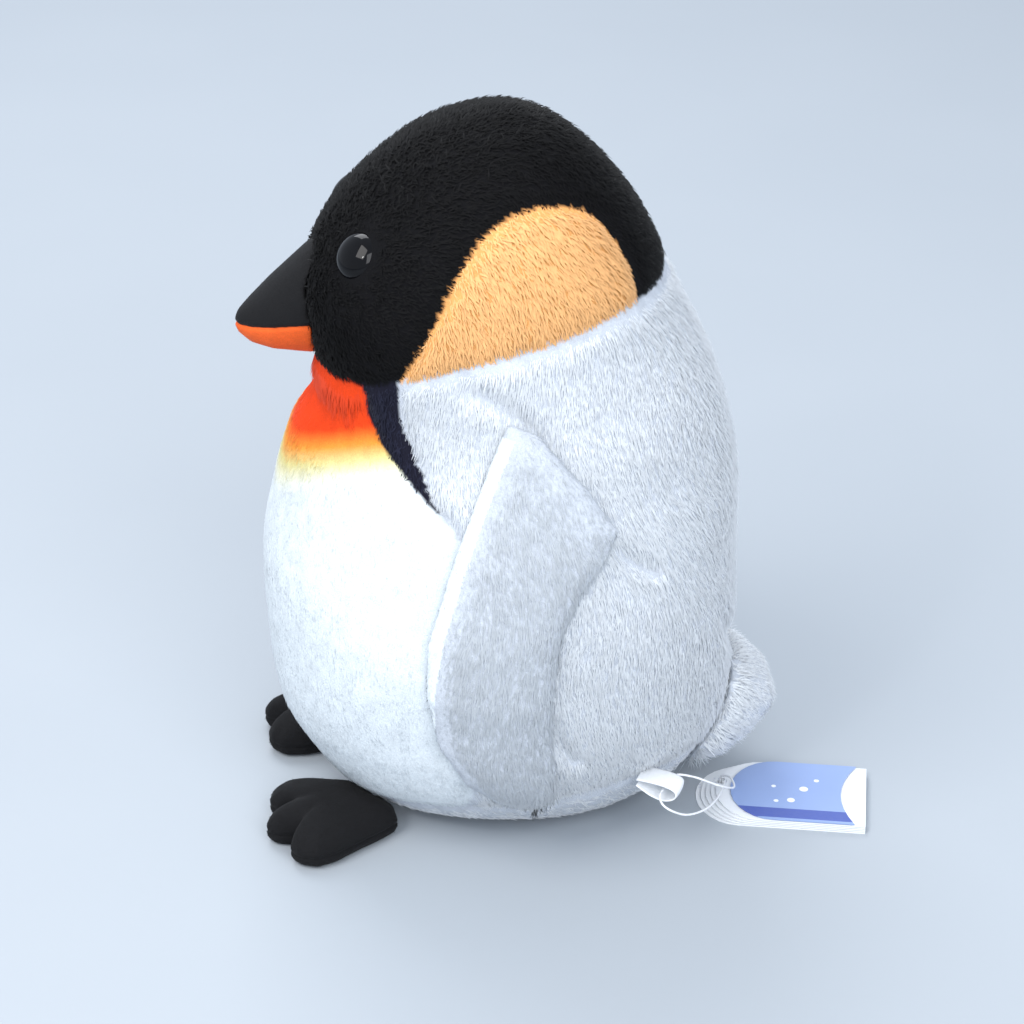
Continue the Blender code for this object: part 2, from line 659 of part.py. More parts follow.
def flipper_sheet(rows):
    """A closed sheet over the body's side from rows of outline share, low and high offset."""
    outline = side_points(FLIPPER_OUTLINE)
    top, bottom = side_points(FLIPPER_SPINE)
    run = bottom - top
    bm = bmesh.new()

    def ring(share, offset):
        made = []
        for point in outline:
            along = min(max((point - top).dot(run) / run.length_squared, 0), 1)
            anchor = top + run * along
            flat = anchor + (point - anchor) * share
            place, normal = side_point(flat.x, flat.y)
            made.append(bm.verts.new(place + normal * offset))
        return made

    low = [ring(share, below) for share, below, _ in rows]
    high = [ring(share, above) for share, _, above in rows]
    for group in (low, high):
        for inner, outer in zip(group, group[1:]):
            join_rings(bm, inner, outer)
        rim = group[0]
        edges = [bm.edges.get((rim[k - 1], rim[k])) for k in range(len(rim))]
        bmesh.ops.triangle_fill(bm, edges=edges, use_beauty=True)
    join_rings(bm, low[-1], high[-1])
    return mesh_from(bm)


def join_rings(bm, first, second):
    for index in range(len(first)):
        after = (index + 1) % len(first)
        bm.faces.new((first[index], first[after], second[after], second[index]))


def build_flippers():
    lining_top = FLIPPER_CLEARANCE + FLIPPER_LINING
    wadding_low = lining_top + CLEARANCE
    full = wadding_low + FLIPPER_WADDING
    wadding = [(share, wadding_low, wadding_low + FLIPPER_WADDING * part)
               for share, part in FLIPPER_BULGE]
    lining = [(share, FLIPPER_CLEARANCE, lining_top) for share, _ in FLIPPER_BULGE]
    lining += [(1.0, FLIPPER_CLEARANCE, lining_top)]
    plush = [(share, top + CLEARANCE, top + CLEARANCE + FLIPPER_PLUSH) for share, _, top in wadding]
    last, turned, edge = FLIPPER_RIM
    plush[-1] = (last, plush[-1][1], plush[-1][2])
    plush += [(turned, wadding_low, wadding_low + FLIPPER_PLUSH + RIM_SOFTNESS * FLIPPER_WADDING),
              (edge, wadding_low, wadding_low + FLIPPER_PLUSH)]
    high, low = side_points(FLIPPER_ROOT)
    middle = (high + low) / 2
    place, normal = side_point(middle.x, middle.y)
    hinge = place + normal * full
    for name, rows, colour in (("lining", lining, "white_plush"), ("wadding", wadding, "wadding"),
                               ("plush", plush, "grey_plush")):
        mesh = flipper_sheet(rows)
        finish_piece(f"flipper_right_{name}", mirrored(mesh), colour, hinge * Vector((-1, 1, 1)))
        finish_piece(f"flipper_left_{name}", mesh, colour, hinge)


# ---- care label, hang tag and string

def label_frame():
    """The care label's root on the body, with the ways its loop runs and its ribbon's width lies."""
    root, _ = side_point(draft_y(LABEL_PLACE[0]), draft_z(LABEL_PLACE[1]))
    along = Vector((math.sin(LABEL_HEADING), math.cos(LABEL_HEADING), 0))
    across = Vector((math.cos(LABEL_HEADING), -math.sin(LABEL_HEADING), 0))
    return root, along, across


def build_label():
    root, along, across = label_frame()
    path = curve_through([(LABEL_LENGTH * run, LABEL_LOOP * rise) for run, rise in LABEL_PROFILE], 3)
    bm = bmesh.new()
    rows = []
    for index, point in enumerate(path):
        ahead = path[min(index + 1, len(path) - 1)] - path[max(index - 1, 0)]
        sideways = Vector((-ahead.y, ahead.x)).normalized() * LABEL_THICKNESS / 2
        row = []
        for edge, face in ((-1, -1), (-1, 1), (1, 1), (1, -1)):
            flat = point + sideways * face
            row.append(bm.verts.new(root + along * flat.x + Vector((0, 0, flat.y))
                                    + across * edge * LABEL_WIDTH / 2))
        rows.append(row)
    skin_rings(bm, rows)
    label = combine(mesh_from(bm), form_mesh(LABEL_CLEARANCE))
    finish_piece("care_label", label, "satin_ribbon", root)


def leaf_outline(start, concave):
    """Top-view outline of a leaf: a round end at the start, a straight or hollowed far end."""
    half = TAG_WIDTH / 2
    points = []
    for share in np.linspace(-1, 1, LEAF_END_POINTS):
        angle = math.pi / 2 * share
        points.append((start + TAG_NOSE * (1 - math.cos(angle)), half * math.sin(angle)))
    if concave:
        for share in np.linspace(1, -1, COVER_END_POINTS):
            points.append((TAG_LENGTH - COVER_SETBACK - COVER_HOLLOW * (1 - share ** 2), half * share))
    else:
        points += [(TAG_LENGTH, half), (TAG_LENGTH, -half)]
    return points


def build_tag():
    place = Vector((draft_x(TAG_PLACE[0]), draft_y(TAG_PLACE[1]), 0))
    shift = Matrix.Translation(place) @ Matrix.Rotation(TAG_TURN, 4, "Z")

    def leaf(start, level, concave, holed):
        bm = bmesh.new()
        outline = leaf_outline(start, concave)
        skin_rings(bm, [[bm.verts.new((y - TAG_HOLE_SIDE, x - TAG_HOLE_INSET, level + rise))
                         for x, y in outline] for rise in (0, LEAF_THICKNESS)])
        mesh = mesh_from(bm)
        if holed:
            hole = cylinder(Vector((0, 0, 0)), Vector((0, 0, 1)), TAG_HOLE_DIAMETER / 2, -REACH, REACH)
            mesh = combine(mesh, hole)
        mesh.transform(shift)
        return mesh

    pitch = LEAF_THICKNESS + CLEARANCE
    for index in range(LEAF_COUNT):
        name = "tag_back_card" if index == 0 else f"tag_leaf_{index}"
        finish_piece(name, leaf(index * LEAF_STEP, index * pitch, False, True), "white_card")
    spine = shift @ Vector((-TAG_HOLE_SIDE, TAG_LENGTH - TAG_HOLE_INSET, LEAF_COUNT * pitch))
    cover = leaf(COVER_INSET, LEAF_COUNT * pitch, True, False)
    finish_piece("tag_cover", cover, "blue_card", spine)


def build_string():
    route = [Vector((draft_x(x), draft_y(y), draft_z(z))) for x, y, z in STRING_ROUTE]
    curve = bpy.data.curves.new("tag_string", "CURVE")
    curve.dimensions = "3D"
    curve.bevel_depth = STRING_DIAMETER / 2
    curve.bevel_resolution = 2
    curve.use_fill_caps = True
    points = curve_through(route, 4)
    line = curve.splines.new("POLY")
    line.points.add(len(points) - 1)
    for spot, point in zip(line.points, points):
        spot.co = (*point, 1)
    curve.materials.append(material("white_cord"))
    add_object("tag_string", curve)


clear_scene()
build_skins()
build_filling()
build_eyes()
build_beak()
build_tail()
build_feet()
build_flippers()
build_label()
build_tag()
build_string()
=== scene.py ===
"""Looks of the plush penguin: plumped covers, real pile made of small curved tufts, felt feet and
beak, glossy eyes, a satin label and a booklet tag on its string.

Metres, +Z up.  The penguin faces -Y and its left side is +X."""

import json
import math

import bmesh
import bpy
import numpy as np
from mathutils import Matrix, Vector
from mathutils.bvhtree import BVHTree


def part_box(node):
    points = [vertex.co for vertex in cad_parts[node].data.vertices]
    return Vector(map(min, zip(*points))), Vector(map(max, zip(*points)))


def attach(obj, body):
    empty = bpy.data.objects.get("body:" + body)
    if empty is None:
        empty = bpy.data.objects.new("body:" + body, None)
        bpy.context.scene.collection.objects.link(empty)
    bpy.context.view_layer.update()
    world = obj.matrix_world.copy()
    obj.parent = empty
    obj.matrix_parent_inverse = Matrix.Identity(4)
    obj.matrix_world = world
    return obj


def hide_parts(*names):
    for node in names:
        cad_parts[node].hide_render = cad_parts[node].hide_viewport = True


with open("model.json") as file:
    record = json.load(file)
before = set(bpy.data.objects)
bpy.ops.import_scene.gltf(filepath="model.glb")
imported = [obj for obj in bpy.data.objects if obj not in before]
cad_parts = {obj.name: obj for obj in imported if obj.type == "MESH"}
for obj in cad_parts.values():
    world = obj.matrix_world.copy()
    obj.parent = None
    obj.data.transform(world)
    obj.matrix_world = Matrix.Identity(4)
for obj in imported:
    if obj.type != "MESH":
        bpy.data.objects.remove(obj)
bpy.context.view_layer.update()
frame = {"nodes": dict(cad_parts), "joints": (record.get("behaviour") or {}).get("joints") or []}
MM = 0.001
SEED = 7
RNG = np.random.default_rng(SEED)
JOINTS = {joint["name"]: joint for joint in frame["joints"]}

# ---- colours, linear
GREY = (0.84, 0.875, 0.91)
# painted shade: the flippers are the same grey cloth as GREY, made darker here because they catch more light
FLIPPER_SHADED_GREY = (0.62, 0.66, 0.70)
WHITE = (0.80, 0.86, 0.90)
BLACK = (0.005, 0.005, 0.0055)
NAVY = (0.017, 0.018, 0.036)
APRICOT = (0.98, 0.53, 0.22)
ORANGE = (0.86, 0.065, 0.012)
YELLOW = (0.78, 0.70, 0.30)
SATIN = (0.86, 0.88, 0.90)
CARD = (0.86, 0.88, 0.90)
BLUE = (0.24, 0.34, 0.62)
DEEP_BLUE = (0.05, 0.09, 0.38)

# ---- bib
BIB_LOW = 129 * MM           # the bib is white below this height and orange above the next
BIB_HIGH = 163 * MM
BIB_RISE = 0.60              # how much the colour borders rise sideways
BIB_ROUND = 20 * MM          # and how broad their round middle is
BIB_STOPS = (                # share of the way up, colour
    (0.0, WHITE), (0.16, (0.87, 0.88, 0.72)), (0.34, YELLOW), (0.52, (0.90, 0.34, 0.05)), (0.72, ORANGE),
)

# ---- camera: the direction it looks from, what it looks at, and its lens
CAMERA_AZIMUTH = 85
CAMERA_ELEVATION = 27
CAMERA_DISTANCE = 1.05
CAMERA_TARGET = (-0.0444, 0.0089, 0.0884)
CAMERA_LENS = 96

# ---- string: points from the tag's hole through the label's loop and back, in mm
STRING_ROUTE = (
    (19.1, 82.9, 1.6), (19.5, 83.1, 5), (25.5, 85.5, 8), (38.5, 84.5, 12), (49, 77, 20), (52.5, 67, 26.5),
    (54.6, 59.3, 29), (61.6, 55.2, 29), (68.4, 52.3, 28.8), (72, 54.2, 26.5), (69.5, 61.5, 21.5),
    (59.5, 70, 16.5), (47, 76.5, 12.5), (34, 81.2, 9), (25, 83.6, 6.4), (20.8, 83.7, 4.5), (20.7, 83.6, 1.6),
)
STRING_DIAMETER = 0.8 * MM

# ---- pile of each cloth, in mm and degrees
PILE_WORDS = ("spacing", "length", "width", "lift", "flow", "jitter", "bent")
PILE = {kind: dict(zip(PILE_WORDS, row)) for kind, row in (
    ("hood", (0.95, 3.6, 0.62, 26, (0, 1.0, -0.7), 0.3, True)),
    ("cheek", (0.8, 4.6, 0.6, 20, (0, 0.35, -1.0), 0.2, True)),
    ("side_band", (0.9, 3.6, 0.6, 20, (0, 0.2, -1.0), 0.25, True)),
    ("back_panel", (0.8, 5.6, 0.66, 13, (0, 0.12, -1.0), 0.17, False)),
    ("front_panel", (0.8, 4.2, 0.76, 6, (0, 0.0, -1.0), 0.12, False)),
    ("base_panel", (1.4, 4.0, 1.0, 10, (0, 0.3, -0.3), 0.4, False)),
    ("flipper", (0.8, 5.0, 0.64, 14, (0, 0.02, -1.0), 0.17, False)),
    ("lining", (0.8, 2.4, 0.7, 10, (0, -0.25, -1.0), 0.2, False)),
    ("tail", (0.85, 5.0, 0.64, 13, (0, 0.75, -0.6), 0.2, False)),
    ("beak", (0.8, 1.1, 0.42, 24, (0, -1.0, -0.1), 0.5, False)),
    ("foot", (0.9, 1.3, 0.5, 26, (0, -1.0, 0.0), 0.6, False)),
)}


# ---- shader building

COLOUR_IN = ("Colour", "INPUT", "NodeSocketColor", (0.5, 0.5, 0.5, 1))
COLOUR_OUT = ("Colour", "OUTPUT", "NodeSocketColor", None)
NORMAL_OUT = ("Normal", "OUTPUT", "NodeSocketVector", None)


def node_group(name, sockets):
    """A new shader node group with its sockets: (name, direction, type, default)."""
    group = bpy.data.node_groups.new(name, "ShaderNodeTree")
    for label, direction, kind, default in sockets:
        socket = group.interface.new_socket(label, in_out=direction, socket_type=kind)
        if default is not None and direction == "INPUT":
            socket.default_value = default
    return group, group.nodes.new("NodeGroupInput"), group.nodes.new("NodeGroupOutput")


def calc(tree, operation, first, second=None, third=None):
    """A Math node on sockets or numbers, and its output."""
    node = tree.nodes.new("ShaderNodeMath")
    node.operation = operation
    for slot, value in zip(node.inputs, (first, second, third)):
        if value is None:
            continue
        if isinstance(value, (int, float)):
            slot.default_value = value
        else:
            tree.links.new(value, slot)
    return node.outputs[0]


def blend_colours(tree, share, first, second, mode="MIX"):
    """A colour mix on sockets or colours, and its output."""
    node = tree.nodes.new("ShaderNodeMix")
    node.data_type = "RGBA"
    node.blend_type = mode
    for slot, value in ((node.inputs[0], share), (node.inputs[6], first), (node.inputs[7], second)):
        if isinstance(value, (int, float)):
            slot.default_value = value
        elif isinstance(value, tuple):
            slot.default_value = (*value, 1)
        else:
            tree.links.new(value, slot)
    return node.outputs[2]


def noise(tree, scale, detail=3, vector=None, distortion=0.0):
    node = tree.nodes.new("ShaderNodeTexNoise")
    node.inputs["Scale"].default_value = scale
    node.inputs["Detail"].default_value = detail
    node.inputs["Distortion"].default_value = distortion
    if vector is None:
        vector = position(tree)
    tree.links.new(vector, node.inputs["Vector"])
    return node.outputs["Fac"]


def position(tree):
    return tree.nodes.new("ShaderNodeNewGeometry").outputs["Position"]


def grey_of(tree, value):
    """A grey as light as the value."""
    node = tree.nodes.new("ShaderNodeCombineColor")
    for slot in node.inputs:
        tree.links.new(value, slot)
    return node.outputs[0]


def attribute(tree, name):
    node = tree.nodes.new("ShaderNodeAttribute")
    node.attribute_name = name
    return node.outputs["Fac"]


def bump(tree, height, strength, distance):
    node = tree.nodes.new("ShaderNodeBump")
    node.inputs["Strength"].default_value = strength
    node.inputs["Distance"].default_value = distance
    tree.links.new(height, node.inputs["Height"])
    return node.outputs["Normal"]


def build_pile_group():
    """Tuft colour: dark at its root as painted shade between the tufts, lighter at its tip, a little
    different from tuft to tuft.
    """
    group, source, sink = node_group("pile_tone", (
        COLOUR_IN,
        ("Root shade", "INPUT", "NodeSocketFloat", 0.5),
        ("Variation", "INPUT", "NodeSocketFloat", 0.15),
        COLOUR_OUT))
    along = attribute(group, "along")
    tint = attribute(group, "tint")
    patches = noise(group, 90, 2)
    rise = calc(group, "POWER", along, 0.6)
    root = calc(group, "SUBTRACT", 1.0, source.outputs["Root shade"])
    level = calc(group, "MULTIPLY_ADD", rise, source.outputs["Root shade"], root)
    spread = calc(group, "SUBTRACT", calc(group, "ADD", tint, patches), 1.0)
    change = calc(group, "MULTIPLY_ADD", spread, source.outputs["Variation"], 1.0)
    grey = grey_of(group, calc(group, "MULTIPLY", level, change))
    made = blend_colours(group, 1.0, source.outputs["Colour"], grey, "MULTIPLY")
    group.links.new(made, sink.inputs["Colour"])
    return group


def build_nap_group():
    """Short felted nap: mottled colour and a fine fibrous relief."""
    group, source, sink = node_group("short_nap", (COLOUR_IN, COLOUR_OUT, NORMAL_OUT))
    fine = noise(group, 1500, 4, distortion=1.2)
    broad = noise(group, 160, 3)
    shade = calc(group, "MULTIPLY_ADD", fine, 0.55, 0.62)
    shade = calc(group, "MULTIPLY", shade, calc(group, "MULTIPLY_ADD", broad, 0.4, 0.82))
    made = blend_colours(group, 1.0, source.outputs["Colour"], grey_of(group, shade), "MULTIPLY")
    group.links.new(made, sink.inputs["Colour"])
    group.links.new(bump(group, fine, 0.6, 0.4 * MM), sink.inputs["Normal"])
    return group


def build_card_group():
    """Coated card: faint fibre mottling and a shallow relief."""
    roughness = ("Roughness", "OUTPUT", "NodeSocketFloat", None)
    group, source, sink = node_group("coated_card", (COLOUR_IN, COLOUR_OUT, roughness, NORMAL_OUT))
    fibre = noise(group, 700, 5)
    mottle = blend_colours(group, calc(group, "MULTIPLY", fibre, 0.12), source.outputs["Colour"],
                           (0.35, 0.38, 0.42))
    group.links.new(mottle, sink.inputs["Colour"])
    group.links.new(calc(group, "MULTIPLY_ADD", fibre, 0.25, 0.25), sink.inputs["Roughness"])
    group.links.new(bump(group, fibre, 0.08, 0.2 * MM), sink.inputs["Normal"])
    return group


GROUPS = {"pile": build_pile_group(), "nap": build_nap_group(), "card": build_card_group()}


def new_material(name, roughness=0.8, sheen=0.0, coat=0.0, specular=0.5):
    made = bpy.data.materials.new(name)
    made.use_nodes = True
    shader = made.node_tree.nodes["Principled BSDF"]
    shader.inputs["Roughness"].default_value = roughness
    shader.inputs["Sheen Weight"].default_value = sheen
    shader.inputs["Sheen Roughness"].default_value = 0.4
    shader.inputs["Coat Weight"].default_value = coat
    shader.inputs["Specular IOR Level"].default_value = specular
    return made, made.node_tree, shader


def use_group(tree, group, colour):
    node = tree.nodes.new("ShaderNodeGroup")
    node.node_tree = group
    if isinstance(colour, tuple):
        node.inputs["Colour"].default_value = (*colour, 1)
    else:
        tree.links.new(colour, node.inputs["Colour"])
    return node


def feed(tree, group, shader):
    """Joins a group's outputs to the shader's sockets."""
    for output in group.outputs:
        target = "Base Color" if output.name == "Colour" else output.name
        tree.links.new(output, shader.inputs[target])


def bib_colour(tree):
    """Front panel: orange under the chin, a yellow band, then white; the border rises sideways."""
    place = tree.nodes.new("ShaderNodeSeparateXYZ")
    tree.links.new(position(tree), place.inputs[0])
    square = calc(tree, "MULTIPLY_ADD", place.outputs["X"], place.outputs["X"], BIB_ROUND ** 2)
    aside = calc(tree, "SUBTRACT", calc(tree, "SQRT", square), BIB_ROUND)
    level = calc(tree, "SUBTRACT", place.outputs["Z"], calc(tree, "MULTIPLY", aside, BIB_RISE))
    level = calc(tree, "MULTIPLY_ADD", attribute(tree, "tint"), 5 * MM, level)
    share = tree.nodes.new("ShaderNodeMapRange")
    share.inputs["From Min"].default_value = BIB_LOW
    share.inputs["From Max"].default_value = BIB_HIGH
    tree.links.new(level, share.inputs["Value"])
    ramp = tree.nodes.new("ShaderNodeValToRGB")
    while len(ramp.color_ramp.elements) < len(BIB_STOPS):
        ramp.color_ramp.elements.new(0.5)
    for element, (stop, colour) in zip(ramp.color_ramp.elements, BIB_STOPS):
        element.position = stop
        element.color = (*colour, 1)
    tree.links.new(share.outputs[0], ramp.inputs[0])
    return ramp.outputs[0]


def pile_material(name, colour, root_shade=0.45, variation=0.2, sheen=0.25, roughness=0.75):
    """Material of the tufts of one panel."""
    made, tree, shader = new_material(name, roughness, sheen, specular=0.15)
    tone = use_group(tree, GROUPS["pile"], bib_colour(tree) if colour is None else colour)
    # painted shade: how much each tuft is darkened at its root
    tone.inputs["Root shade"].default_value = root_shade
    tone.inputs["Variation"].default_value = variation
    feed(tree, tone, shader)
    return made


def nap_material(name, colour, sheen=0.15):
    """Material of a short-napped cloth."""
    made, tree, shader = new_material(name, 0.9, sheen, specular=0.2)
    feed(tree, use_group(tree, GROUPS["nap"], colour), shader)
    return made


def cloth_material(name):
    """Backing cloth under the pile, in each panel's own colour."""
    made, tree, shader = new_material(name, 0.95, specular=0.1)
    node = tree.nodes.new("ShaderNodeAttribute")
    node.attribute_name = "cloth"
    feed(tree, use_group(tree, GROUPS["nap"], node.outputs["Color"]), shader)
    return made


def card_material(name, colour_of):
    """Material of the tag's cards; colour_of(tree) gives the printed colour."""
    made, tree, shader = new_material(name, 0.4, coat=0.15)
    feed(tree, use_group(tree, GROUPS["card"], colour_of(tree)), shader)
    return made


# ---- meshes

def add_object(name, data):
    made = bpy.data.objects.new(name, data)
    bpy.context.scene.collection.objects.link(made)
    return made


def mesh_object(name, points, faces):
    mesh = bpy.data.meshes.new(name)
    mesh.from_pydata([tuple(point) for point in points], [], [tuple(face) for face in faces])
    mesh.shade_smooth()
    return add_object(name, mesh)


def arrays(made):
    """A mesh's points, normals and triangles as arrays."""
    mesh = made.data
    mesh.calc_loop_triangles()
    points = np.empty(len(mesh.vertices) * 3, np.float32)
    normals = np.empty(len(mesh.vertices) * 3, np.float32)
    triangles = np.empty(len(mesh.loop_triangles) * 3, np.int32)
    mesh.vertices.foreach_get("co", points)
    mesh.vertices.foreach_get("normal", normals)
    mesh.loop_triangles.foreach_get("vertices", triangles)
    points, normals = (part.reshape(-1, 3).astype(float) for part in (points, normals))
    return points, normals, triangles.reshape(-1, 3)


def set_points(made, points):
    made.data.vertices.foreach_set("co", points.astype(np.float32).ravel())
    made.data.update()


def apply_modifier(made, modifier):
    with bpy.context.temp_override(object=made, active_object=made, selected_objects=[made]):
        bpy.ops.object.modifier_apply(modifier=modifier.name)


def tree_of(*nodes):
    """A nearest-point tree over the meshes of CAD nodes."""
    points, faces, start = [], [], 0
    for node in nodes:
        mesh = frame["nodes"][node].data
        points += [vert.co.copy() for vert in mesh.vertices]
        faces += [[start + index for index in face.vertices] for face in mesh.polygons]
        start += len(mesh.vertices)
    return BVHTree.FromPolygons(points, faces)


def distances(points, trees):
    """Distance from each point to each tree, one column per tree."""
    return np.array([[tree.find_nearest(Vector(point))[3] for tree in trees] for point in points])


CLOTH_STEPS = 16             # frames that the covers are blown up for


def plump(name, nodes, voxel, pressure, cap, smooth=6):
    """One soft closed form over the CAD nodes, blown up by a cloth simulation and smoothed."""
    bm = bmesh.new()
    for node in nodes:
        bm.from_mesh(frame["nodes"][node].data)
    bmesh.ops.remove_doubles(bm, verts=bm.verts, dist=0.00001)
    mesh = bpy.data.meshes.new(name)
    bm.to_mesh(mesh)
    bm.free()
    made = add_object(name, mesh)
    remesh = made.modifiers.new("remesh", "REMESH")
    remesh.mode = "VOXEL"
    remesh.voxel_size = voxel
    apply_modifier(made, remesh)
    keep_largest(made)
    start, _, _ = arrays(made)
    if pressure:
        cloth = made.modifiers.new("cloth", "CLOTH")
        cloth.settings.use_pressure = True
        cloth.settings.uniform_pressure_force = pressure
        cloth.settings.effector_weights.gravity = 0
        cloth.settings.quality = 4
        for step in range(1, CLOTH_STEPS + 1):
            bpy.context.scene.frame_set(step)
        apply_modifier(made, cloth)
        bpy.context.scene.frame_set(1)
        moved, _, _ = arrays(made)
        shift = moved - start
        reach = np.linalg.norm(shift, axis=1, keepdims=True)
        set_points(made, start + shift * np.minimum(1, cap / np.maximum(reach, 1e-9)))
    soft = made.modifiers.new("soft", "SMOOTH")
    soft.factor = 0.5
    soft.iterations = smooth
    apply_modifier(made, soft)
    finer = made.modifiers.new("finer", "SUBSURF")
    finer.levels = 1
    finer.render_levels = 1
    apply_modifier(made, finer)
    made.data.materials.clear()
    made.data.shade_smooth()
    return made


def keep_largest(made):
    """Removes the inner hollows that remeshing leaves, keeping the outer body."""
    bm = bmesh.new()
    bm.from_mesh(made.data)
    waiting = set(bm.verts)
    groups = []
    while waiting:
        group = {waiting.pop()}
        front = list(group)
        while front:
            for edge in front.pop().link_edges:
                for vert in edge.verts:
                    if vert not in group:
                        group.add(vert)
                        front.append(vert)
        waiting -= group
        groups.append(group)
    outer = max(groups, key=len)
    bmesh.ops.delete(bm, geom=[vert for vert in bm.verts if vert not in outer], context="VERTS")
    bm.to_mesh(made.data)
    bm.free()


def mirror_object(made, name):
    """The same piece on the other side of x = 0."""
    mesh = made.data.copy()
    mesh.transform(Matrix.Scale(-1, 4, (1, 0, 0)))
    mesh.flip_normals()
    mesh.name = name
    return add_object(name, mesh)


def both_sides(left, name):
    """A left piece and its twin on the right: the side, the piece and what flips points to it."""
    twin = mirror_object(left, name)
    return (("left", left, np.array([1, 1, 1])), ("right", twin, np.array([-1, 1, 1])))


# ---- pile

def sample(points, normals, triangles, extra, spacing):
    """Random roots over a surface, one per square of the spacing, with what belongs to them."""
    corners = points[triangles]
    areas = np.linalg.norm(np.cross(corners[:, 1] - corners[:, 0], corners[:, 2] - corners[:, 0]), axis=1) / 2
    count = int(areas.sum() / (spacing * MM) ** 2)
    chosen = RNG.choice(len(triangles), count, p=areas / areas.sum())
    a, b = RNG.random((2, count))
    over = a + b > 1
    a[over], b[over] = 1 - a[over], 1 - b[over]
    shares = np.stack([1 - a - b, a, b], axis=1)[:, :, None]
    pick = triangles[chosen]
    roots = (points[pick] * shares).sum(1)
    facing = (normals[pick] * shares).sum(1)
    facing /= np.linalg.norm(facing, axis=1, keepdims=True)
    return roots, facing, (extra[pick] * shares).sum(1)


def unit(vectors):
    return vectors / np.maximum(np.linalg.norm(vectors, axis=1, keepdims=True), 1e-9)


def wander(roots, scale):
    """A slow swirl of the pile's direction from place to place."""
    x, y, z = (roots / (scale * MM)).T
    swirl = (np.sin(y + 1.7 * np.sin(z)), np.sin(z + 1.3 * np.sin(x)), np.sin(x + 1.9 * np.sin(y)))
    return np.stack(swirl, axis=1)


TIP_TURN = 0.3               # how far a tuft's shading leans the way the tuft lies
# faces of one tuft round its root, its middle where it bends, and its tip: the corners of each face,
# how many each face has, where each corner lies on the tuft's texture square, and the share along it
BENT = dict(corners=(0, 3, 4, 1, 1, 4, 5, 2, 2, 5, 3, 0, 3, 6, 4, 4, 6, 5, 5, 6, 3, 0, 1, 2),
            sizes=(4, 4, 4, 3, 3, 3, 3),
            side=(0, 0, 1, 1, 1, 1, 2, 2, 2, 2, 3, 3, 0, 0.5, 1, 1, 1.5, 2, 2, 2.5, 3, 3.4, 3.9, 3.6),
            height=(0, 1, 1, 0, 0, 1, 1, 0, 0, 1, 1, 0, 1, 2, 1, 1, 2, 1, 1, 2, 1, 0, 0, 0.4),
            along=(0, 0, 0, 0.5, 0.5, 0.5, 1))
STRAIGHT = dict(corners=(0, 3, 1, 1, 3, 2, 2, 3, 0, 0, 1, 2),
                sizes=(3, 3, 3, 3),
                side=(0, 0.5, 1, 1, 1.5, 2, 2, 2.5, 3, 3.4, 3.9, 3.6),
                height=(0, 2, 0, 0, 2, 0, 0, 2, 0, 0, 0, 0.4),
                along=(0, 0, 0, 1))


def tufts(name, body, roots, facing, kind, colour, scale=None, flow=None):
    """A piece made of small tapering tufts, one at each root, lying along the pile's flow."""
    count = len(roots)
    pile = PILE[kind]
    form = BENT if pile["bent"] else STRAIGHT
    grown = np.ones(count) if scale is None else scale
    lie = np.tile(np.array(pile["flow"], float), (count, 1)) if flow is None else flow
    lie = unit(lie) + 0.2 * wander(roots, 16) + pile["jitter"] * RNG.normal(size=(count, 3))
    lie = unit(lie - facing * (lie * facing).sum(1, keepdims=True))
    across = np.cross(facing, lie)
    length = (pile["length"] * MM * grown * RNG.uniform(0.65, 1.25, count))[:, None]
    width = (pile["width"] * MM * (0.45 + 0.55 * grown) * RNG.uniform(0.7, 1.3, count))[:, None]
    lift = np.radians(pile["lift"] * RNG.uniform(0.5, 1.5, count))[:, None]
    base = roots - facing * 0.5 * MM
    sides = (across * width / 2, -across * width / 2, facing * width * 0.45)
    rings = [base + side for side in sides]
    if pile["bent"]:
        curl = 0.12 * RNG.normal(size=(count, 1))
        rise = lie * np.cos(lift * 1.4) + facing * np.sin(lift * 1.4)
        fall = unit(lie * np.cos(lift * 0.35) + facing * np.sin(lift * 0.35) + across * curl)
        middle = base + rise * length * 0.5
        tip = middle + fall * length * 0.5
        rings += [middle + side * 0.85 for side in sides]
    else:
        tip = base + (lie * np.cos(lift) + facing * np.sin(lift)) * length
    points = np.stack(rings + [tip], axis=1)
    corners, sizes = np.array(form["corners"]), np.array(form["sizes"])
    per_tuft = points.shape[1]
    mesh = bpy.data.meshes.new(name)
    mesh.vertices.add(count * per_tuft)
    mesh.vertices.foreach_set("co", points.astype(np.float32).ravel())
    mesh.loops.add(count * len(corners))
    index = np.arange(count)[:, None]
    mesh.loops.foreach_set("vertex_index", (index * per_tuft + corners).astype(np.int32).ravel())
    mesh.polygons.add(count * len(sizes))
    starts = np.concatenate([[0], np.cumsum(sizes)[:-1]])
    mesh.polygons.foreach_set("loop_start", (index * len(corners) + starts).astype(np.int32).ravel())
    mesh.update(calc_edges=True)
    mesh.shade_smooth()
    bent = unit(facing + TIP_TURN * unit(tip - base))
    mesh.normals_split_custom_set_from_vertices(np.repeat(bent, per_tuft, axis=0).astype(np.float32))
    tuft_attributes(mesh, count, form)
    mesh.materials.append(colour)
    made = add_object(name, mesh)
    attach(made, body)
    return made


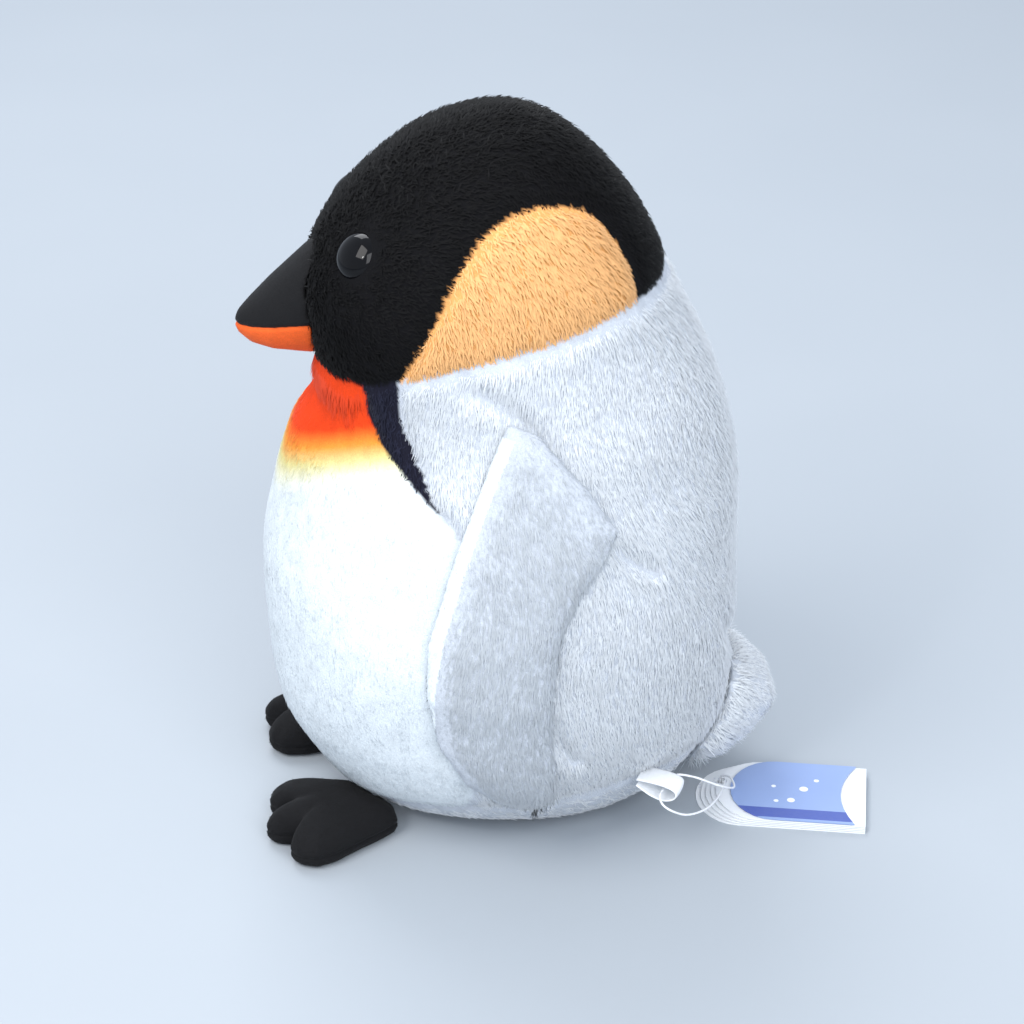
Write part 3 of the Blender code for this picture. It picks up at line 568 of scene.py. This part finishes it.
def tuft_attributes(mesh, count, form):
    """Root-to-tip position, a random tint and a texture square for every tuft."""
    along = mesh.attributes.new("along", "FLOAT", "POINT")
    along.data.foreach_set("value", np.tile(np.array(form["along"], np.float32), count))
    tint = mesh.attributes.new("tint", "FLOAT", "POINT")
    tint.data.foreach_set("value", np.repeat(RNG.random(count).astype(np.float32), len(form["along"])))
    columns = math.ceil(math.sqrt(count))
    cell = 1 / columns
    corner = np.stack([np.arange(count) % columns, np.arange(count) // columns], axis=1) * cell
    square = np.stack([np.array(form["side"]) / 4, np.array(form["height"]) / 2.1], axis=1)
    square = square * cell * 0.94 + cell * 0.03
    layer = mesh.uv_layers.new(name="OFBake")
    layer.data.foreach_set("uv", (corner[:, None, :] + square[None]).astype(np.float32).ravel())


# ---- body

PANELS = ["hood_left", "hood_right", "cheek_left", "cheek_right", "side_band_left", "side_band_right",
          "back_panel_left", "back_panel_right", "front_panel", "base_panel"]
CLOTH = {                    # colour of the cloth under each panel's pile
    "hood": (0.006, 0.006, 0.007), "cheek": (0.80, 0.38, 0.13), "side_band": (0.012, 0.012, 0.022),
    "back_panel": (0.56, 0.60, 0.66), "front_panel": (0.88, 0.91, 0.93), "base_panel": (0.56, 0.60, 0.66),
}
BIB_CLOTH_SHADE = 0.92       # the bib's cloth against its pile
BIB_CLOTH_RISE = 2 * MM
CREASES = (                  # points along a fold in mm on the left side, its depth and half width
    (((62, -16, 190), (64, -9, 188), (65, 2, 180), (70, 13, 168), (73, 25, 155), (75, 33, 141)), 1.6, 4.0),
    (((76, 33, 136), (70, 41, 127), (67, 48, 121)), 2.0, 3.2),
    (((75, 13, 65), (74, 16, 55), (72, 21, 49)), 1.8, 2.8),
    (((38, 79, 84), (28, 84, 72), (12, 87, 65), (0, 88, 63)), 2.2, 5.0),
    (((69, -24, 146), (74, -20, 138), (77, -24, 120), (80, -31, 100), (80, -32, 80), (79, -25, 56)),
     1.3, 3.0),
)
FLIPPER_FRONT = CREASES[-1][0]           # the fold in front of the flipper's leading edge
SEAM_DEPTH = 1.3 * MM        # how far the cover sinks into its seams
SEAM_WIDTH = 3.2 * MM
TWIN_SEAM = 3.5 * MM         # a seam between left and right twins counts as this much further off
LUMPS = 0.6 * MM             # unevenness of the filling, and its span in mm
LUMP_SPAN = 17
BROW_RISE = 2.4 * MM         # fullness of the forehead between the eyes
BROW_WIDTH = 24 * MM
BROW_LOW = 212 * MM
BROW_BACK = -8 * MM
EYE_MARGIN = 0.4 * MM        # bare ring round an eye's dome
COVER_LOW = 0.6 * MM         # the body's cover ends here, and its tufts start a little higher
FLOOR_GAP = 1.2 * MM
BEAK_MARGIN = 0.6 * MM       # no tufts start closer to the beak than this
FLIPPER_NEAR = 12 * MM       # pile with a flipper this close over it is pressed short
PRESSED = 0.35
THROAT_LOW = 168 * MM        # the bib's longer fringe starts here
THROAT_FRONT = -45 * MM


def kind_of(panel):
    return panel.replace("_left", "").replace("_right", "")


def seam_pull(gap, depth, width):
    """How far the cover sinks at a distance from the nearest seam."""
    return depth * np.exp(-(gap / width) ** 2)


def seam_gap(reach):
    """Distance past the nearest seam, with twin seams further off."""
    order = np.argsort(reach, axis=1)
    rows = np.arange(len(reach))
    kinds = np.array([kind_of(panel) for panel in PANELS])
    twins = kinds[order[:, 0]] == kinds[order[:, 1]]
    return reach[rows, order[:, 1]] - reach[rows, order[:, 0]] + TWIN_SEAM * twins


def fade(distance, span, least=0.5):
    """A share that grows from the least to one over the span."""
    return least + (1 - least) * np.clip(distance / span, 0, 1)


def line_distance(points, line):
    """Distance of each point to a line of points in millimetres, on either side of x = 0."""
    folded = np.column_stack([np.abs(points[:, 0]), points[:, 1:]])
    nearest = np.full(len(points), np.inf)
    for first, second in zip(line, line[1:]):
        start, run = np.array(first) * MM, (np.array(second) - np.array(first)) * MM
        along = np.clip((folded - start) @ run / (run @ run), 0, 1)[:, None]
        nearest = np.minimum(nearest, np.linalg.norm(folded - start - along * run, axis=1))
    return nearest


def build_body(materials):
    cover = plump("body_cover", PANELS + ["body_stuffing", "pellet_bag"], 4 * MM, 4, 1.2 * MM, 3)
    points, normals, _ = arrays(cover)
    trees = [tree_of(panel) for panel in PANELS]
    reach = distances(points, trees)
    sink = seam_pull(seam_gap(reach), SEAM_DEPTH, SEAM_WIDTH)
    for line, depth, width in CREASES:
        sink = sink + seam_pull(line_distance(points, line), depth * MM, width * MM)
    sink = sink - LUMPS * wander(points, LUMP_SPAN)[:, 0]
    brow = np.exp(-(points[:, 0] / BROW_WIDTH) ** 2) * fade(points[:, 2] - BROW_LOW, 16 * MM, 0)
    brow = brow * fade(BROW_BACK - points[:, 1], 22 * MM, 0)
    points = points - normals * (sink - BROW_RISE * brow)[:, None]
    points[:, 2] = np.maximum(points[:, 2], COVER_LOW)
    set_points(cover, points)
    cloth = cover.data.attributes.new("cloth", "FLOAT_COLOR", "POINT")
    shades = np.array([(*CLOTH[kind_of(panel)], 1) for panel in PANELS])[reach.argmin(1)]
    level = points[:, 2] - BIB_RISE * (np.hypot(points[:, 0], BIB_ROUND) - BIB_ROUND) + BIB_CLOTH_RISE
    share = (level - BIB_LOW) / (BIB_HIGH - BIB_LOW)
    bib = [np.interp(share, [stop for stop, _ in BIB_STOPS], [colour[channel] for _, colour in BIB_STOPS])
           for channel in range(3)]
    bib = np.stack([BIB_CLOTH_SHADE * part for part in bib] + [np.ones(len(points))], axis=1)
    front = (reach.argmin(1) == PANELS.index("front_panel"))[:, None]
    shades = np.where(front, bib, shades)
    cloth.data.foreach_set("color", shades.astype(np.float32).ravel())
    cover.data.materials.append(materials["body_cloth"])
    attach(cover, "torso")
    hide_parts("body_stuffing", "pellet_bag")
    points, normals, triangles = arrays(cover)
    flippers = tree_of(*[name for name in frame["nodes"] if name.startswith("flipper")])
    beak = tree_of("beak_upper", "beak_lower")
    eyes = [eye_centre(side) for side in ("left", "right")]
    for index, panel in enumerate(PANELS):
        kind = kind_of(panel)
        mine = reach[triangles].mean(1).argmin(1) == index
        near = (reach[triangles].argmin(2) == index).any(1)
        part = triangles[mine | near]
        roots, facing, spans = sample(points, normals, part, reach, PILE[kind]["spacing"])
        keep = spans.argmin(1) == index
        clear = np.ones(len(roots), bool)
        for eye in eyes:
            clear &= np.linalg.norm(roots - eye, axis=1) > EYE_RADIUS + EYE_MARGIN
        keep &= clear & (roots[:, 2] > FLOOR_GAP)
        roots, facing, spans = roots[keep], facing[keep], spans[keep]
        scale = pile_scale(kind, roots, spans, eyes)
        covered = np.array([under(root, normal, flippers) for root, normal in zip(roots, facing)])
        scale = np.where(covered, PRESSED * scale, scale)
        scale = scale * fade(line_distance(roots, FLIPPER_FRONT), 6 * MM, 0.45)
        inside = np.array([beak.find_nearest(Vector(root))[3] < BEAK_MARGIN for root in roots])
        roots, facing, scale = roots[~inside], facing[~inside], scale[~inside]
        fur = tufts(f"pile_{panel}", "torso", roots, facing, kind, materials[kind], scale,
                    body_flow(kind, roots))
        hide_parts(panel)


def under(root, normal, tree):
    """Whether a flipper lies close over the root."""
    hit = tree.ray_cast(Vector(root), Vector(normal), FLIPPER_NEAR)
    return hit[0] is not None


def pile_scale(kind, roots, spans, eyes):
    """Length share of each tuft: shorter in the seams and round the eyes, longer at the throat."""
    scale = fade(seam_gap(spans), 4 * MM)
    if kind == "front_panel":
        throat = fade(roots[:, 2] - THROAT_LOW, 8 * MM, 0) * (roots[:, 1] < THROAT_FRONT)
        scale = np.maximum(scale, 0.9 * (throat > 0)) * (1 + 0.7 * throat)
    for eye in eyes:
        away = np.linalg.norm(roots - eye, axis=1) - EYE_RADIUS
        scale = scale * np.clip(0.45 + away / (9 * MM), 0, 1)
    return scale


def body_flow(kind, roots):
    """The way the pile lies: back over the crown, down the back, straight down the belly."""
    flow = np.tile(np.array(PILE[kind]["flow"], float), (len(roots), 1))
    if kind == "hood":
        behind = fade(roots[:, 1], 45 * MM, 0)
        flow[:, 2] = -0.5 - 1.6 * behind
        flow[:, 1] = 1.0 - 0.8 * behind
        flow[:, 0] = 0.35 * np.sign(roots[:, 0])
    if kind == "front_panel":
        flow[:, 0] = 0.15 * np.sign(roots[:, 0])
    return flow


# ---- eyes

EYE_RADIUS = 8.25 * MM
EYE_HEIGHT = 4.4 * MM
EYE_FORWARD = -0.6 * MM      # from the middle of the eye's box to the rim of its dome
EYE_TURN = 0.22              # how far the eyes look forwards of the face's slope
EYE_RIM = ((0.90, -0.55), (0.99, -0.32), (1.0, -0.12))    # shares of its radius and height
DOME_SEGMENTS = 64
DOME_RINGS = 20


def middle_of(node):
    low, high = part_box(node)
    return (low + high) / 2


def eye_centre(side):
    return np.array(middle_of(f"eye_{side}")) + np.array(eye_direction(side)) * EYE_FORWARD


def eye_direction(side):
    """The way an eye looks: from its washer to its dome, and a little forwards."""
    outward = (middle_of(f"eye_{side}") - middle_of(f"eye_washer_{side}")).normalized()
    return (outward + Vector((0, -EYE_TURN, 0))).normalized()


def build_eyes(material):
    for side in ("left", "right"):
        direction = eye_direction(side)
        centre = Vector(eye_centre(side))
        turn = Matrix.Translation(centre) @ direction.to_track_quat("Z", "Y").to_matrix().to_4x4()
        profile = list(EYE_RIM)
        for ring in range(DOME_RINGS):
            tilt = math.pi / 2 * ring / DOME_RINGS
            profile.append((math.cos(tilt) ** 0.94, math.sin(tilt)))
        points, faces = [], []
        for reach, height in profile:
            for step in range(DOME_SEGMENTS):
                angle = 2 * math.pi * step / DOME_SEGMENTS
                spot = (EYE_RADIUS * reach * math.cos(angle), EYE_RADIUS * reach * math.sin(angle),
                        EYE_HEIGHT * height)
                points.append(turn @ Vector(spot))
        for ring in range(len(profile) - 1):
            for step in range(DOME_SEGMENTS):
                after = (step + 1) % DOME_SEGMENTS
                low, high = ring * DOME_SEGMENTS, (ring + 1) * DOME_SEGMENTS
                faces.append((low + step, low + after, high + after, high + step))
        last = (len(profile) - 1) * DOME_SEGMENTS
        faces.append(tuple(last + step for step in range(DOME_SEGMENTS)))
        faces.append(tuple(reversed(range(DOME_SEGMENTS))))
        dome = mesh_object(f"eye_dome_{side}", points, faces)
        dome.data.materials.append(material)
        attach(dome, "torso")
        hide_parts(f"eye_{side}")


# ---- beak, feet, flippers, tail

def side_share(made, first, second):
    """Stores how much nearer each point is to the second node than to the first."""
    points, _, _ = arrays(made)
    near = distances(points, [tree_of(first), tree_of(second)])
    value = near[:, 0] - near[:, 1]
    layer = made.data.attributes.new("side", "FLOAT", "POINT")
    layer.data.foreach_set("value", value.astype(np.float32))
    return value


def split_material(name, low_colour, high_colour):
    """Two short-napped cloths meeting in a stitched line, by the side attribute."""
    made, tree, shader = new_material(name, 0.85, 0.03, specular=0.25)
    share = tree.nodes.new("ShaderNodeMapRange")
    share.inputs["From Min"].default_value = -0.25 * MM
    share.inputs["From Max"].default_value = 0.25 * MM
    tree.links.new(attribute(tree, "side"), share.inputs["Value"])
    colour = blend_colours(tree, share.outputs[0], low_colour, high_colour)
    feed(tree, use_group(tree, GROUPS["nap"], colour), shader)
    return made


def build_beak(materials):
    beak = plump("beak_pad", ["beak_upper", "beak_lower", "beak_stuffing"], 1.1 * MM, 3, 0.6 * MM, 5)
    value = side_share(beak, "beak_lower", "beak_upper")
    points, normals, _ = arrays(beak)
    set_points(beak, points - normals * seam_pull(value, 0.9 * MM, 0.8 * MM)[:, None])
    beak.data.materials.append(materials["beak"])
    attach(beak, "torso")
    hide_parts("beak_upper", "beak_lower", "beak_stuffing")
    points, normals, triangles = arrays(beak)
    roots, facing, spans = sample(points, normals, triangles, value[:, None], PILE["beak"]["spacing"])
    for part, chosen in (("upper", spans[:, 0] > 0.3 * MM), ("lower", spans[:, 0] < -0.3 * MM)):
        tufts(f"nap_beak_{part}", "torso", roots[chosen], facing[chosen], "beak", materials[f"beak_{part}"])


def build_feet(materials):
    nodes = ["foot_left_upper", "foot_left_sole", "foot_left_stuffing"]
    left = plump("foot_left_pad", nodes, 1.2 * MM, 4, 0.8 * MM, 3)
    points, normals, _ = arrays(left)
    value = side_share(left, "foot_left_sole", "foot_left_upper")
    points = points - normals * seam_pull(value, 0.7 * MM, 0.7 * MM)[:, None]
    points[:, 2] = np.maximum(points[:, 2], 0.4 * MM)
    set_points(left, points)
    left.data.materials.append(materials["foot"])
    points, normals, triangles = arrays(left)
    roots, facing, _ = sample(points, normals, triangles, points, PILE["foot"]["spacing"])
    roots, facing = roots[roots[:, 2] > 1 * MM], facing[roots[:, 2] > 1 * MM]
    flow = roots - np.array(JOINTS["foot_left_lift"]["pos_m"])
    for side, pad, flip in both_sides(left, "foot_right_pad"):
        body = f"foot_{side}"
        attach(pad, body)
        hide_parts(*[node.replace("left", side) for node in nodes])
        tufts(f"nap_foot_{side}", body, roots * flip, facing * flip, "foot", materials["foot_nap"], None,
              flow * flip)


EDGE_STRIP = 4.5 * MM        # width of the lining that shows along a flipper's leading edge
STRIP_LOW = 62 * MM          # it starts at this height, and has its full width this much higher
STRIP_GROWS = 38 * MM
STRIP_TOP_GAP = 5 * MM       # and ends this far under the flipper's top
STRIP_SLICES = 39            # level slices in which the leading edge is found


def build_flippers(materials):
    nodes = ["flipper_left_lining", "flipper_left_wadding", "flipper_left_plush"]
    left = plump("flipper_left_pad", nodes, 1.4 * MM, 3, 0.7 * MM, 4)
    value = side_share(left, "flipper_left_lining", "flipper_left_plush")
    left.data.materials.append(materials["body_cloth"])
    points, normals, triangles = arrays(left)
    levels = np.linspace(points[:, 2].min(), points[:, 2].max(), STRIP_SLICES + 1)
    slots = np.clip(np.digitize(points[:, 2], levels) - 1, 0, STRIP_SLICES - 1)
    edges = np.array([points[slots == slot, 1].min() if (slots == slot).any() else 0
                      for slot in range(STRIP_SLICES)])
    middles = (levels[1:] + levels[:-1]) / 2
    white_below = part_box("flipper_left_plush")[1].z - STRIP_TOP_GAP

    def white_strip(spots):
        lead = spots[:, 1] - np.interp(spots[:, 2], middles, edges)
        width = EDGE_STRIP * fade(spots[:, 2] - STRIP_LOW, STRIP_GROWS, 0)
        return lead, (lead < width) & (spots[:, 2] < white_below)

    shades = np.tile(np.array((*CLOTH["back_panel"], 1.0)), (len(points), 1))
    shades[(value < 0) | white_strip(points)[1]] = (*WHITE, 1.0)
    layer = left.data.attributes.new("cloth", "FLOAT_COLOR", "POINT")
    layer.data.foreach_set("color", shades.astype(np.float32).ravel())
    roots, facing, spans = sample(points, normals, triangles, value[:, None], PILE["flipper"]["spacing"])
    lead, strip = white_strip(roots)
    outer = (spans[:, 0] > 0) & ~strip
    for side, pad, flip in both_sides(left, "flipper_right_pad"):
        body = f"flipper_{side}"
        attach(pad, body)
        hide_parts(f"flipper_{side}_wadding")
        hair = tufts(f"pile_flipper_{side}", body, roots[outer] * flip, facing[outer] * flip, "flipper",
                     materials["flipper"], flipper_scale(roots[outer], lead[outer]))
        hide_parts(f"flipper_{side}_plush")
        nap = tufts(f"pile_lining_{side}", body, roots[~outer] * flip, facing[~outer] * flip, "lining",
                    materials["lining"], np.where(strip[~outer], 1.15, 0.6))
        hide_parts(f"flipper_{side}_lining")


def flipper_scale(roots, lead):
    """Shorter pile on the shoulder seam and next to the white edge."""
    pivot = JOINTS["flipper_left_flap"]
    axis = np.array(pivot["axis"]) / np.linalg.norm(pivot["axis"])
    arm = roots - np.array(pivot["pos_m"])
    away = np.linalg.norm(arm - axis * (arm @ axis)[:, None], axis=1)
    beside = np.clip(0.5 + (lead - EDGE_STRIP) / (10 * MM), 0.5, 1)
    return fade(away, 16 * MM, 0.55) * beside


def build_tail(materials):
    nodes = ["tail_upper", "tail_lower", "tail_stuffing"]
    tail = plump("tail_pad", nodes, 2 * MM, 4, 1 * MM, 4)
    value = side_share(tail, "tail_lower", "tail_upper")
    tail.data.materials.append(materials["backing"])
    points, normals, triangles = arrays(tail)
    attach(tail, "tail")
    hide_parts("tail_stuffing")
    roots, facing, spans = sample(points, normals, triangles, value[:, None], PILE["tail"]["spacing"])
    seam = 0.5 + 0.3 * np.clip(np.abs(spans[:, 0]) / (3 * MM), 0, 1)
    root = np.clip(1 - (roots[:, 1] - JOINTS["tail_lift"]["pos_m"][1]) / (8 * MM), 0, 1)
    seam = seam + 0.5 * root
    for part, chosen in (("upper", spans[:, 0] > 0), ("lower", spans[:, 0] <= 0)):
        hair = tufts(f"pile_tail_{part}", "tail", roots[chosen], facing[chosen], "tail",
                     materials["back_panel"], seam[chosen])
        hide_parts(f"tail_{part}")


# ---- label, tag and string

def curve_points(points, steps):
    """Points on a Catmull-Rom curve through the given points."""
    points = [Vector(point) for point in points]
    made = []
    for index in range(len(points) - 1):
        a, b, c, d = (points[min(max(index + shift, 0), len(points) - 1)] for shift in (-1, 0, 1, 2))
        for step in range(steps):
            t = step / steps
            made.append(0.5 * (2 * b + (c - a) * t + (2 * a - 5 * b + 4 * c - d) * t**2
                               + (3 * b - a - 3 * c + d) * t**3))
    return made + [points[-1]]


LABEL_PROFILE = (            # along the label and up, in mm, round its fold and back
    (-0.5, 0.55), (4.35, 0.48), (10.4, -0.12), (14.1, -1.8), (13.8, -4.5), (10.15, -6.0),
    (5.5, -5.1), (0.7, -2.5), (-0.5, -1.8),
)
LABEL_WIDTH = 10 * MM
LABEL_THICKNESS = 0.45 * MM
LABEL_COLUMNS = 12


def build_label(material):
    joint = JOINTS["label_lift"]
    root = Vector(joint["pos_m"])
    across = Vector(joint["axis"]).normalized()
    along = Vector((0, 0, 1)).cross(across)
    path = curve_points([Vector((run * MM, rise * MM)).to_3d() for run, rise in LABEL_PROFILE], 8)
    points, faces = [], []
    for index, spot in enumerate(path):
        ahead = path[min(index + 1, len(path) - 1)] - path[max(index - 1, 0)]
        sideways = Vector((-ahead.y, ahead.x, 0)).normalized()
        for column in range(LABEL_COLUMNS + 1):
            share = column / LABEL_COLUMNS - 0.5
            cup = 0.5 * MM * (1 - 4 * share ** 2) * math.sin(math.pi * index / (len(path) - 1))
            flat = spot + sideways * cup
            points.append(root + along * flat.x + Vector((0, 0, flat.y)) + across * share * LABEL_WIDTH)
    row = LABEL_COLUMNS + 1
    for index in range(len(path) - 1):
        for column in range(LABEL_COLUMNS):
            low = index * row + column
            faces.append((low, low + 1, low + row + 1, low + row))
    ribbon = mesh_object("label_ribbon", points, faces)
    thick = ribbon.modifiers.new("thick", "SOLIDIFY")
    thick.thickness = LABEL_THICKNESS
    thick.offset = 0
    apply_modifier(ribbon, thick)
    ribbon.data.materials.append(material)
    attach(ribbon, "care_label")
    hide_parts("care_label")


def ribs(tree, scale, distortion=0.0):
    """A mask of fine slanting ribs."""
    node = tree.nodes.new("ShaderNodeTexWave")
    node.bands_direction = "DIAGONAL"
    node.inputs["Scale"].default_value = scale
    node.inputs["Distortion"].default_value = distortion
    tree.links.new(position(tree), node.inputs["Vector"])
    return node.outputs["Fac"]


def satin_material():
    """White satin: fine cross ribs and a soft long highlight."""
    made, tree, shader = new_material("satin", 0.32, 0.3)
    weave = ribs(tree, 900, 0.6)
    colour = blend_colours(tree, calc(tree, "MULTIPLY", weave, 0.2), SATIN, (0.6, 0.63, 0.68))
    tree.links.new(colour, shader.inputs["Base Color"])
    tree.links.new(bump(tree, weave, 0.25, 0.1 * MM), shader.inputs["Normal"])
    shader.inputs["Anisotropic"].default_value = 0.5
    return made


def string_material():
    """Glossy twisted thread."""
    made, tree, shader = new_material("thread", 0.35, 0.2)
    twist = ribs(tree, 500)
    colour = blend_colours(tree, calc(tree, "MULTIPLY", twist, 0.3), (0.9, 0.91, 0.93), (0.55, 0.58, 0.63))
    tree.links.new(colour, shader.inputs["Base Color"])
    tree.links.new(bump(tree, twist, 0.5, 0.2 * MM), shader.inputs["Normal"])
    return made


def build_string(material):
    points = curve_points([Vector(point) * MM for point in STRING_ROUTE], 8)
    curve = bpy.data.curves.new("tag_thread", "CURVE")
    curve.dimensions = "3D"
    curve.bevel_depth = STRING_DIAMETER / 2
    curve.bevel_resolution = 3
    curve.use_fill_caps = True
    line = curve.splines.new("POLY")
    line.points.add(len(points) - 1)
    for spot, point in zip(line.points, points):
        spot.co = (*point, 1)
    line.use_smooth = True
    curve.materials.append(material)
    thread = add_object("tag_thread", curve)
    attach(thread, "hang_tag")
    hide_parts("tag_string")


def tag_space(tree):
    """Distances along and across the hang tag, in millimetres from its spine's middle."""
    spine = Vector(JOINTS["tag_open"]["pos_m"])
    across = -Vector(JOINTS["tag_open"]["axis"]).normalized()
    along = across.cross(Vector((0, 0, 1)))
    place = position(tree)
    found = []
    for direction in (along, across):
        shifted = tree.nodes.new("ShaderNodeVectorMath")
        shifted.operation = "SUBTRACT"
        shifted.inputs[1].default_value = spine
        tree.links.new(place, shifted.inputs[0])
        dot = tree.nodes.new("ShaderNodeVectorMath")
        dot.operation = "DOT_PRODUCT"
        dot.inputs[1].default_value = direction
        tree.links.new(shifted.outputs[0], dot.inputs[0])
        found.append(calc(tree, "MULTIPLY", dot.outputs["Value"], 1000.0))
    return found


# print on the tag, in mm from its spine's middle: the middle and the half width of each band
DOT_ROW = (-6.0, 3.0)
DARK_STRIP = (15.5, 3.2)
DOTS_ALONG = (27.0, 10.0)
DOTS_ACROSS = (0.0, 9.0)


def within(tree, value, middle, reach):
    """A mask of the values that lie in a band."""
    return calc(tree, "LESS_THAN", calc(tree, "ABSOLUTE", calc(tree, "SUBTRACT", value, middle)), reach)


def dots_of(tree, scale, spread, size):
    """A mask of small round dots."""
    dots = tree.nodes.new("ShaderNodeTexVoronoi")
    dots.inputs["Scale"].default_value = scale
    dots.inputs["Randomness"].default_value = spread
    tree.links.new(position(tree), dots.inputs["Vector"])
    return calc(tree, "LESS_THAN", dots.outputs["Distance"], size)


def dotted(tree):
    """White card with a sparse row of small pale printed dots near its round end."""
    _, across = tag_space(tree)
    row = calc(tree, "MULTIPLY", dots_of(tree, 520, 0.25, 0.28), within(tree, across, *DOT_ROW))
    return blend_colours(tree, calc(tree, "MULTIPLY", row, 0.35), CARD, (0.35, 0.42, 0.6))


def cover_print(tree):
    """Blue cover with a plain dark strip along one long edge and a few pale dots."""
    along, across = tag_space(tree)
    face = blend_colours(tree, calc(tree, "MULTIPLY", noise(tree, 60, 2), 0.5), BLUE, (0.30, 0.41, 0.68))
    middle = calc(tree, "MULTIPLY", within(tree, along, *DOTS_ALONG), within(tree, across, *DOTS_ACROSS))
    dots = calc(tree, "MULTIPLY", dots_of(tree, 170, 0.5, 0.34), middle)
    printed = blend_colours(tree, dots, face, (0.86, 0.88, 0.92))
    return blend_colours(tree, within(tree, across, *DARK_STRIP), printed, DEEP_BLUE)


def build_tag():
    leaves = card_material("white_coated_card", dotted)
    cover = card_material("printed_cover", cover_print)
    for name in ["tag_back_card", "tag_leaf_1", "tag_leaf_2", "tag_leaf_3", "tag_leaf_4", "tag_cover"]:
        item = frame["nodes"][name]
        item.data.materials.clear()
        item.data.materials.append(cover if name == "tag_cover" else leaves)


# ---- stage, light and camera

def build_camera():
    azimuth, elevation = math.radians(CAMERA_AZIMUTH), math.radians(CAMERA_ELEVATION)
    away = Vector((math.sin(azimuth) * math.cos(elevation), -math.cos(azimuth) * math.cos(elevation),
                   math.sin(elevation)))
    data = bpy.data.cameras.new("camera")
    data.lens = CAMERA_LENS
    camera = add_object("camera", data)
    camera.location = Vector(CAMERA_TARGET) + away * CAMERA_DISTANCE
    camera.rotation_euler = away.to_track_quat("Z", "Y").to_euler()
    bpy.context.scene.camera = camera


LIGHTS = (                   # place, size, power and colour; the last one is the glint in the eyes
    ((0.7, -0.9, 1.5), 1.0, 19, (1.0, 0.98, 0.96)), ((1.5, 0.3, 1.1), 1.2, 24, (0.95, 0.97, 1.0)),
    ((-1.1, -0.3, 1.5), 1.0, 17, (0.95, 0.97, 1.0)), ((1.0, -0.8, 1.2), 0.12, 2.0, (1.0, 1.0, 1.0)),
)
LIGHT_AIM = Vector((0, 0, 0.12))


def build_stage():
    floor = mesh_object("floor", [(x, y, 0) for x, y in ((-3, -3), (3, -3), (3, 3), (-3, 3))], [(0, 1, 2, 3)])
    made, tree, shader = new_material("pale_floor", 0.7)
    shade = blend_colours(tree, noise(tree, 6, 2), (0.365, 0.40, 0.437), (0.385, 0.42, 0.456))
    tree.links.new(shade, shader.inputs["Base Color"])
    floor.data.materials.append(made)
    world = bpy.data.worlds.new("studio")
    world.use_nodes = True
    world.node_tree.nodes["Background"].inputs["Color"].default_value = (0.80, 0.88, 1.0, 1)
    world.node_tree.nodes["Background"].inputs["Strength"].default_value = 0.88
    bpy.context.scene.world = world
    bpy.context.scene.view_settings.view_transform = "Standard"
    for place, size, power, colour in LIGHTS:
        data = bpy.data.lights.new("softbox", "AREA")
        data.size = size
        data.energy = power
        data.color = colour
        lamp = add_object("softbox", data)
        lamp.location = place
        aim = Vector(place) - LIGHT_AIM
        lamp.rotation_euler = aim.to_track_quat("Z", "Y").to_euler()


def eye_material():
    """Polished black plastic with faint fine scratches."""
    made, tree, shader = new_material("eye_gloss", 0.06)
    shader.inputs["IOR"].default_value = 1.30
    haze = noise(tree, 400, 4)
    tree.links.new(calc(tree, "MULTIPLY_ADD", haze, 0.03, 0.02), shader.inputs["Roughness"])
    tree.links.new(blend_colours(tree, haze, (0.001, 0.001, 0.0015), (0.003, 0.003, 0.004)),
                   shader.inputs["Base Color"])
    return made


def build_materials():
    return {
        "body_cloth": cloth_material("body_cloth"),
        "backing": nap_material("backing_cloth", CLOTH["back_panel"]),
        "hood": pile_material("black_pile", BLACK, 0.25, 0.4, 0.03, 0.85),
        "cheek": pile_material("apricot_pile", APRICOT, 0.14, 0.12, 0.12, 0.8),
        "side_band": pile_material("navy_pile", NAVY, 0.3, 0.4, 0.08, 0.8),
        "back_panel": pile_material("grey_pile", GREY, 0.16, 0.13, 0.2, 0.8),
        # painted shade: the flippers' pile is darker than the back's grey, though it is the same cloth
        "flipper": pile_material("flipper_shaded_pile", FLIPPER_SHADED_GREY, 0.16, 0.13, 0.2, 0.8),
        "front_panel": pile_material("belly_pile", None, 0.03, 0.04, 0.08, 0.8),
        "base_panel": pile_material("base_pile", GREY, 0.4, 0.2),
        "lining": pile_material("lining_pile", WHITE, 0.05, 0.05, 0.1, 0.8),
        "beak": split_material("beak_cloth", (0.8, 0.12, 0.02), (0.006, 0.006, 0.007)),
        "beak_upper": pile_material("beak_black_nap", (0.007, 0.007, 0.008), 0.3, 0.5, 0.02, 0.9),
        "beak_lower": pile_material("beak_orange_nap", (0.95, 0.14, 0.015), 0.2, 0.2, 0.05, 0.9),
        "foot": nap_material("foot_felt", (0.007, 0.007, 0.008), 0.03),
        "foot_nap": pile_material("foot_nap", (0.009, 0.009, 0.010), 0.3, 0.5, 0.03, 0.9),
    }


build_camera()
build_string(string_material())
build_label(satin_material())
build_tag()
MATERIALS = build_materials()
build_body(MATERIALS)
build_eyes(eye_material())
build_beak(MATERIALS)
build_feet(MATERIALS)
build_flippers(MATERIALS)
build_tail(MATERIALS)
build_stage()

washer = nap_material("washer_moulded", (0.75, 0.75, 0.75), 0.0)
for node in ("eye_washer_left", "eye_washer_right"):
    frame["nodes"][node].data.materials.clear()
    frame["nodes"][node].data.materials.append(washer)
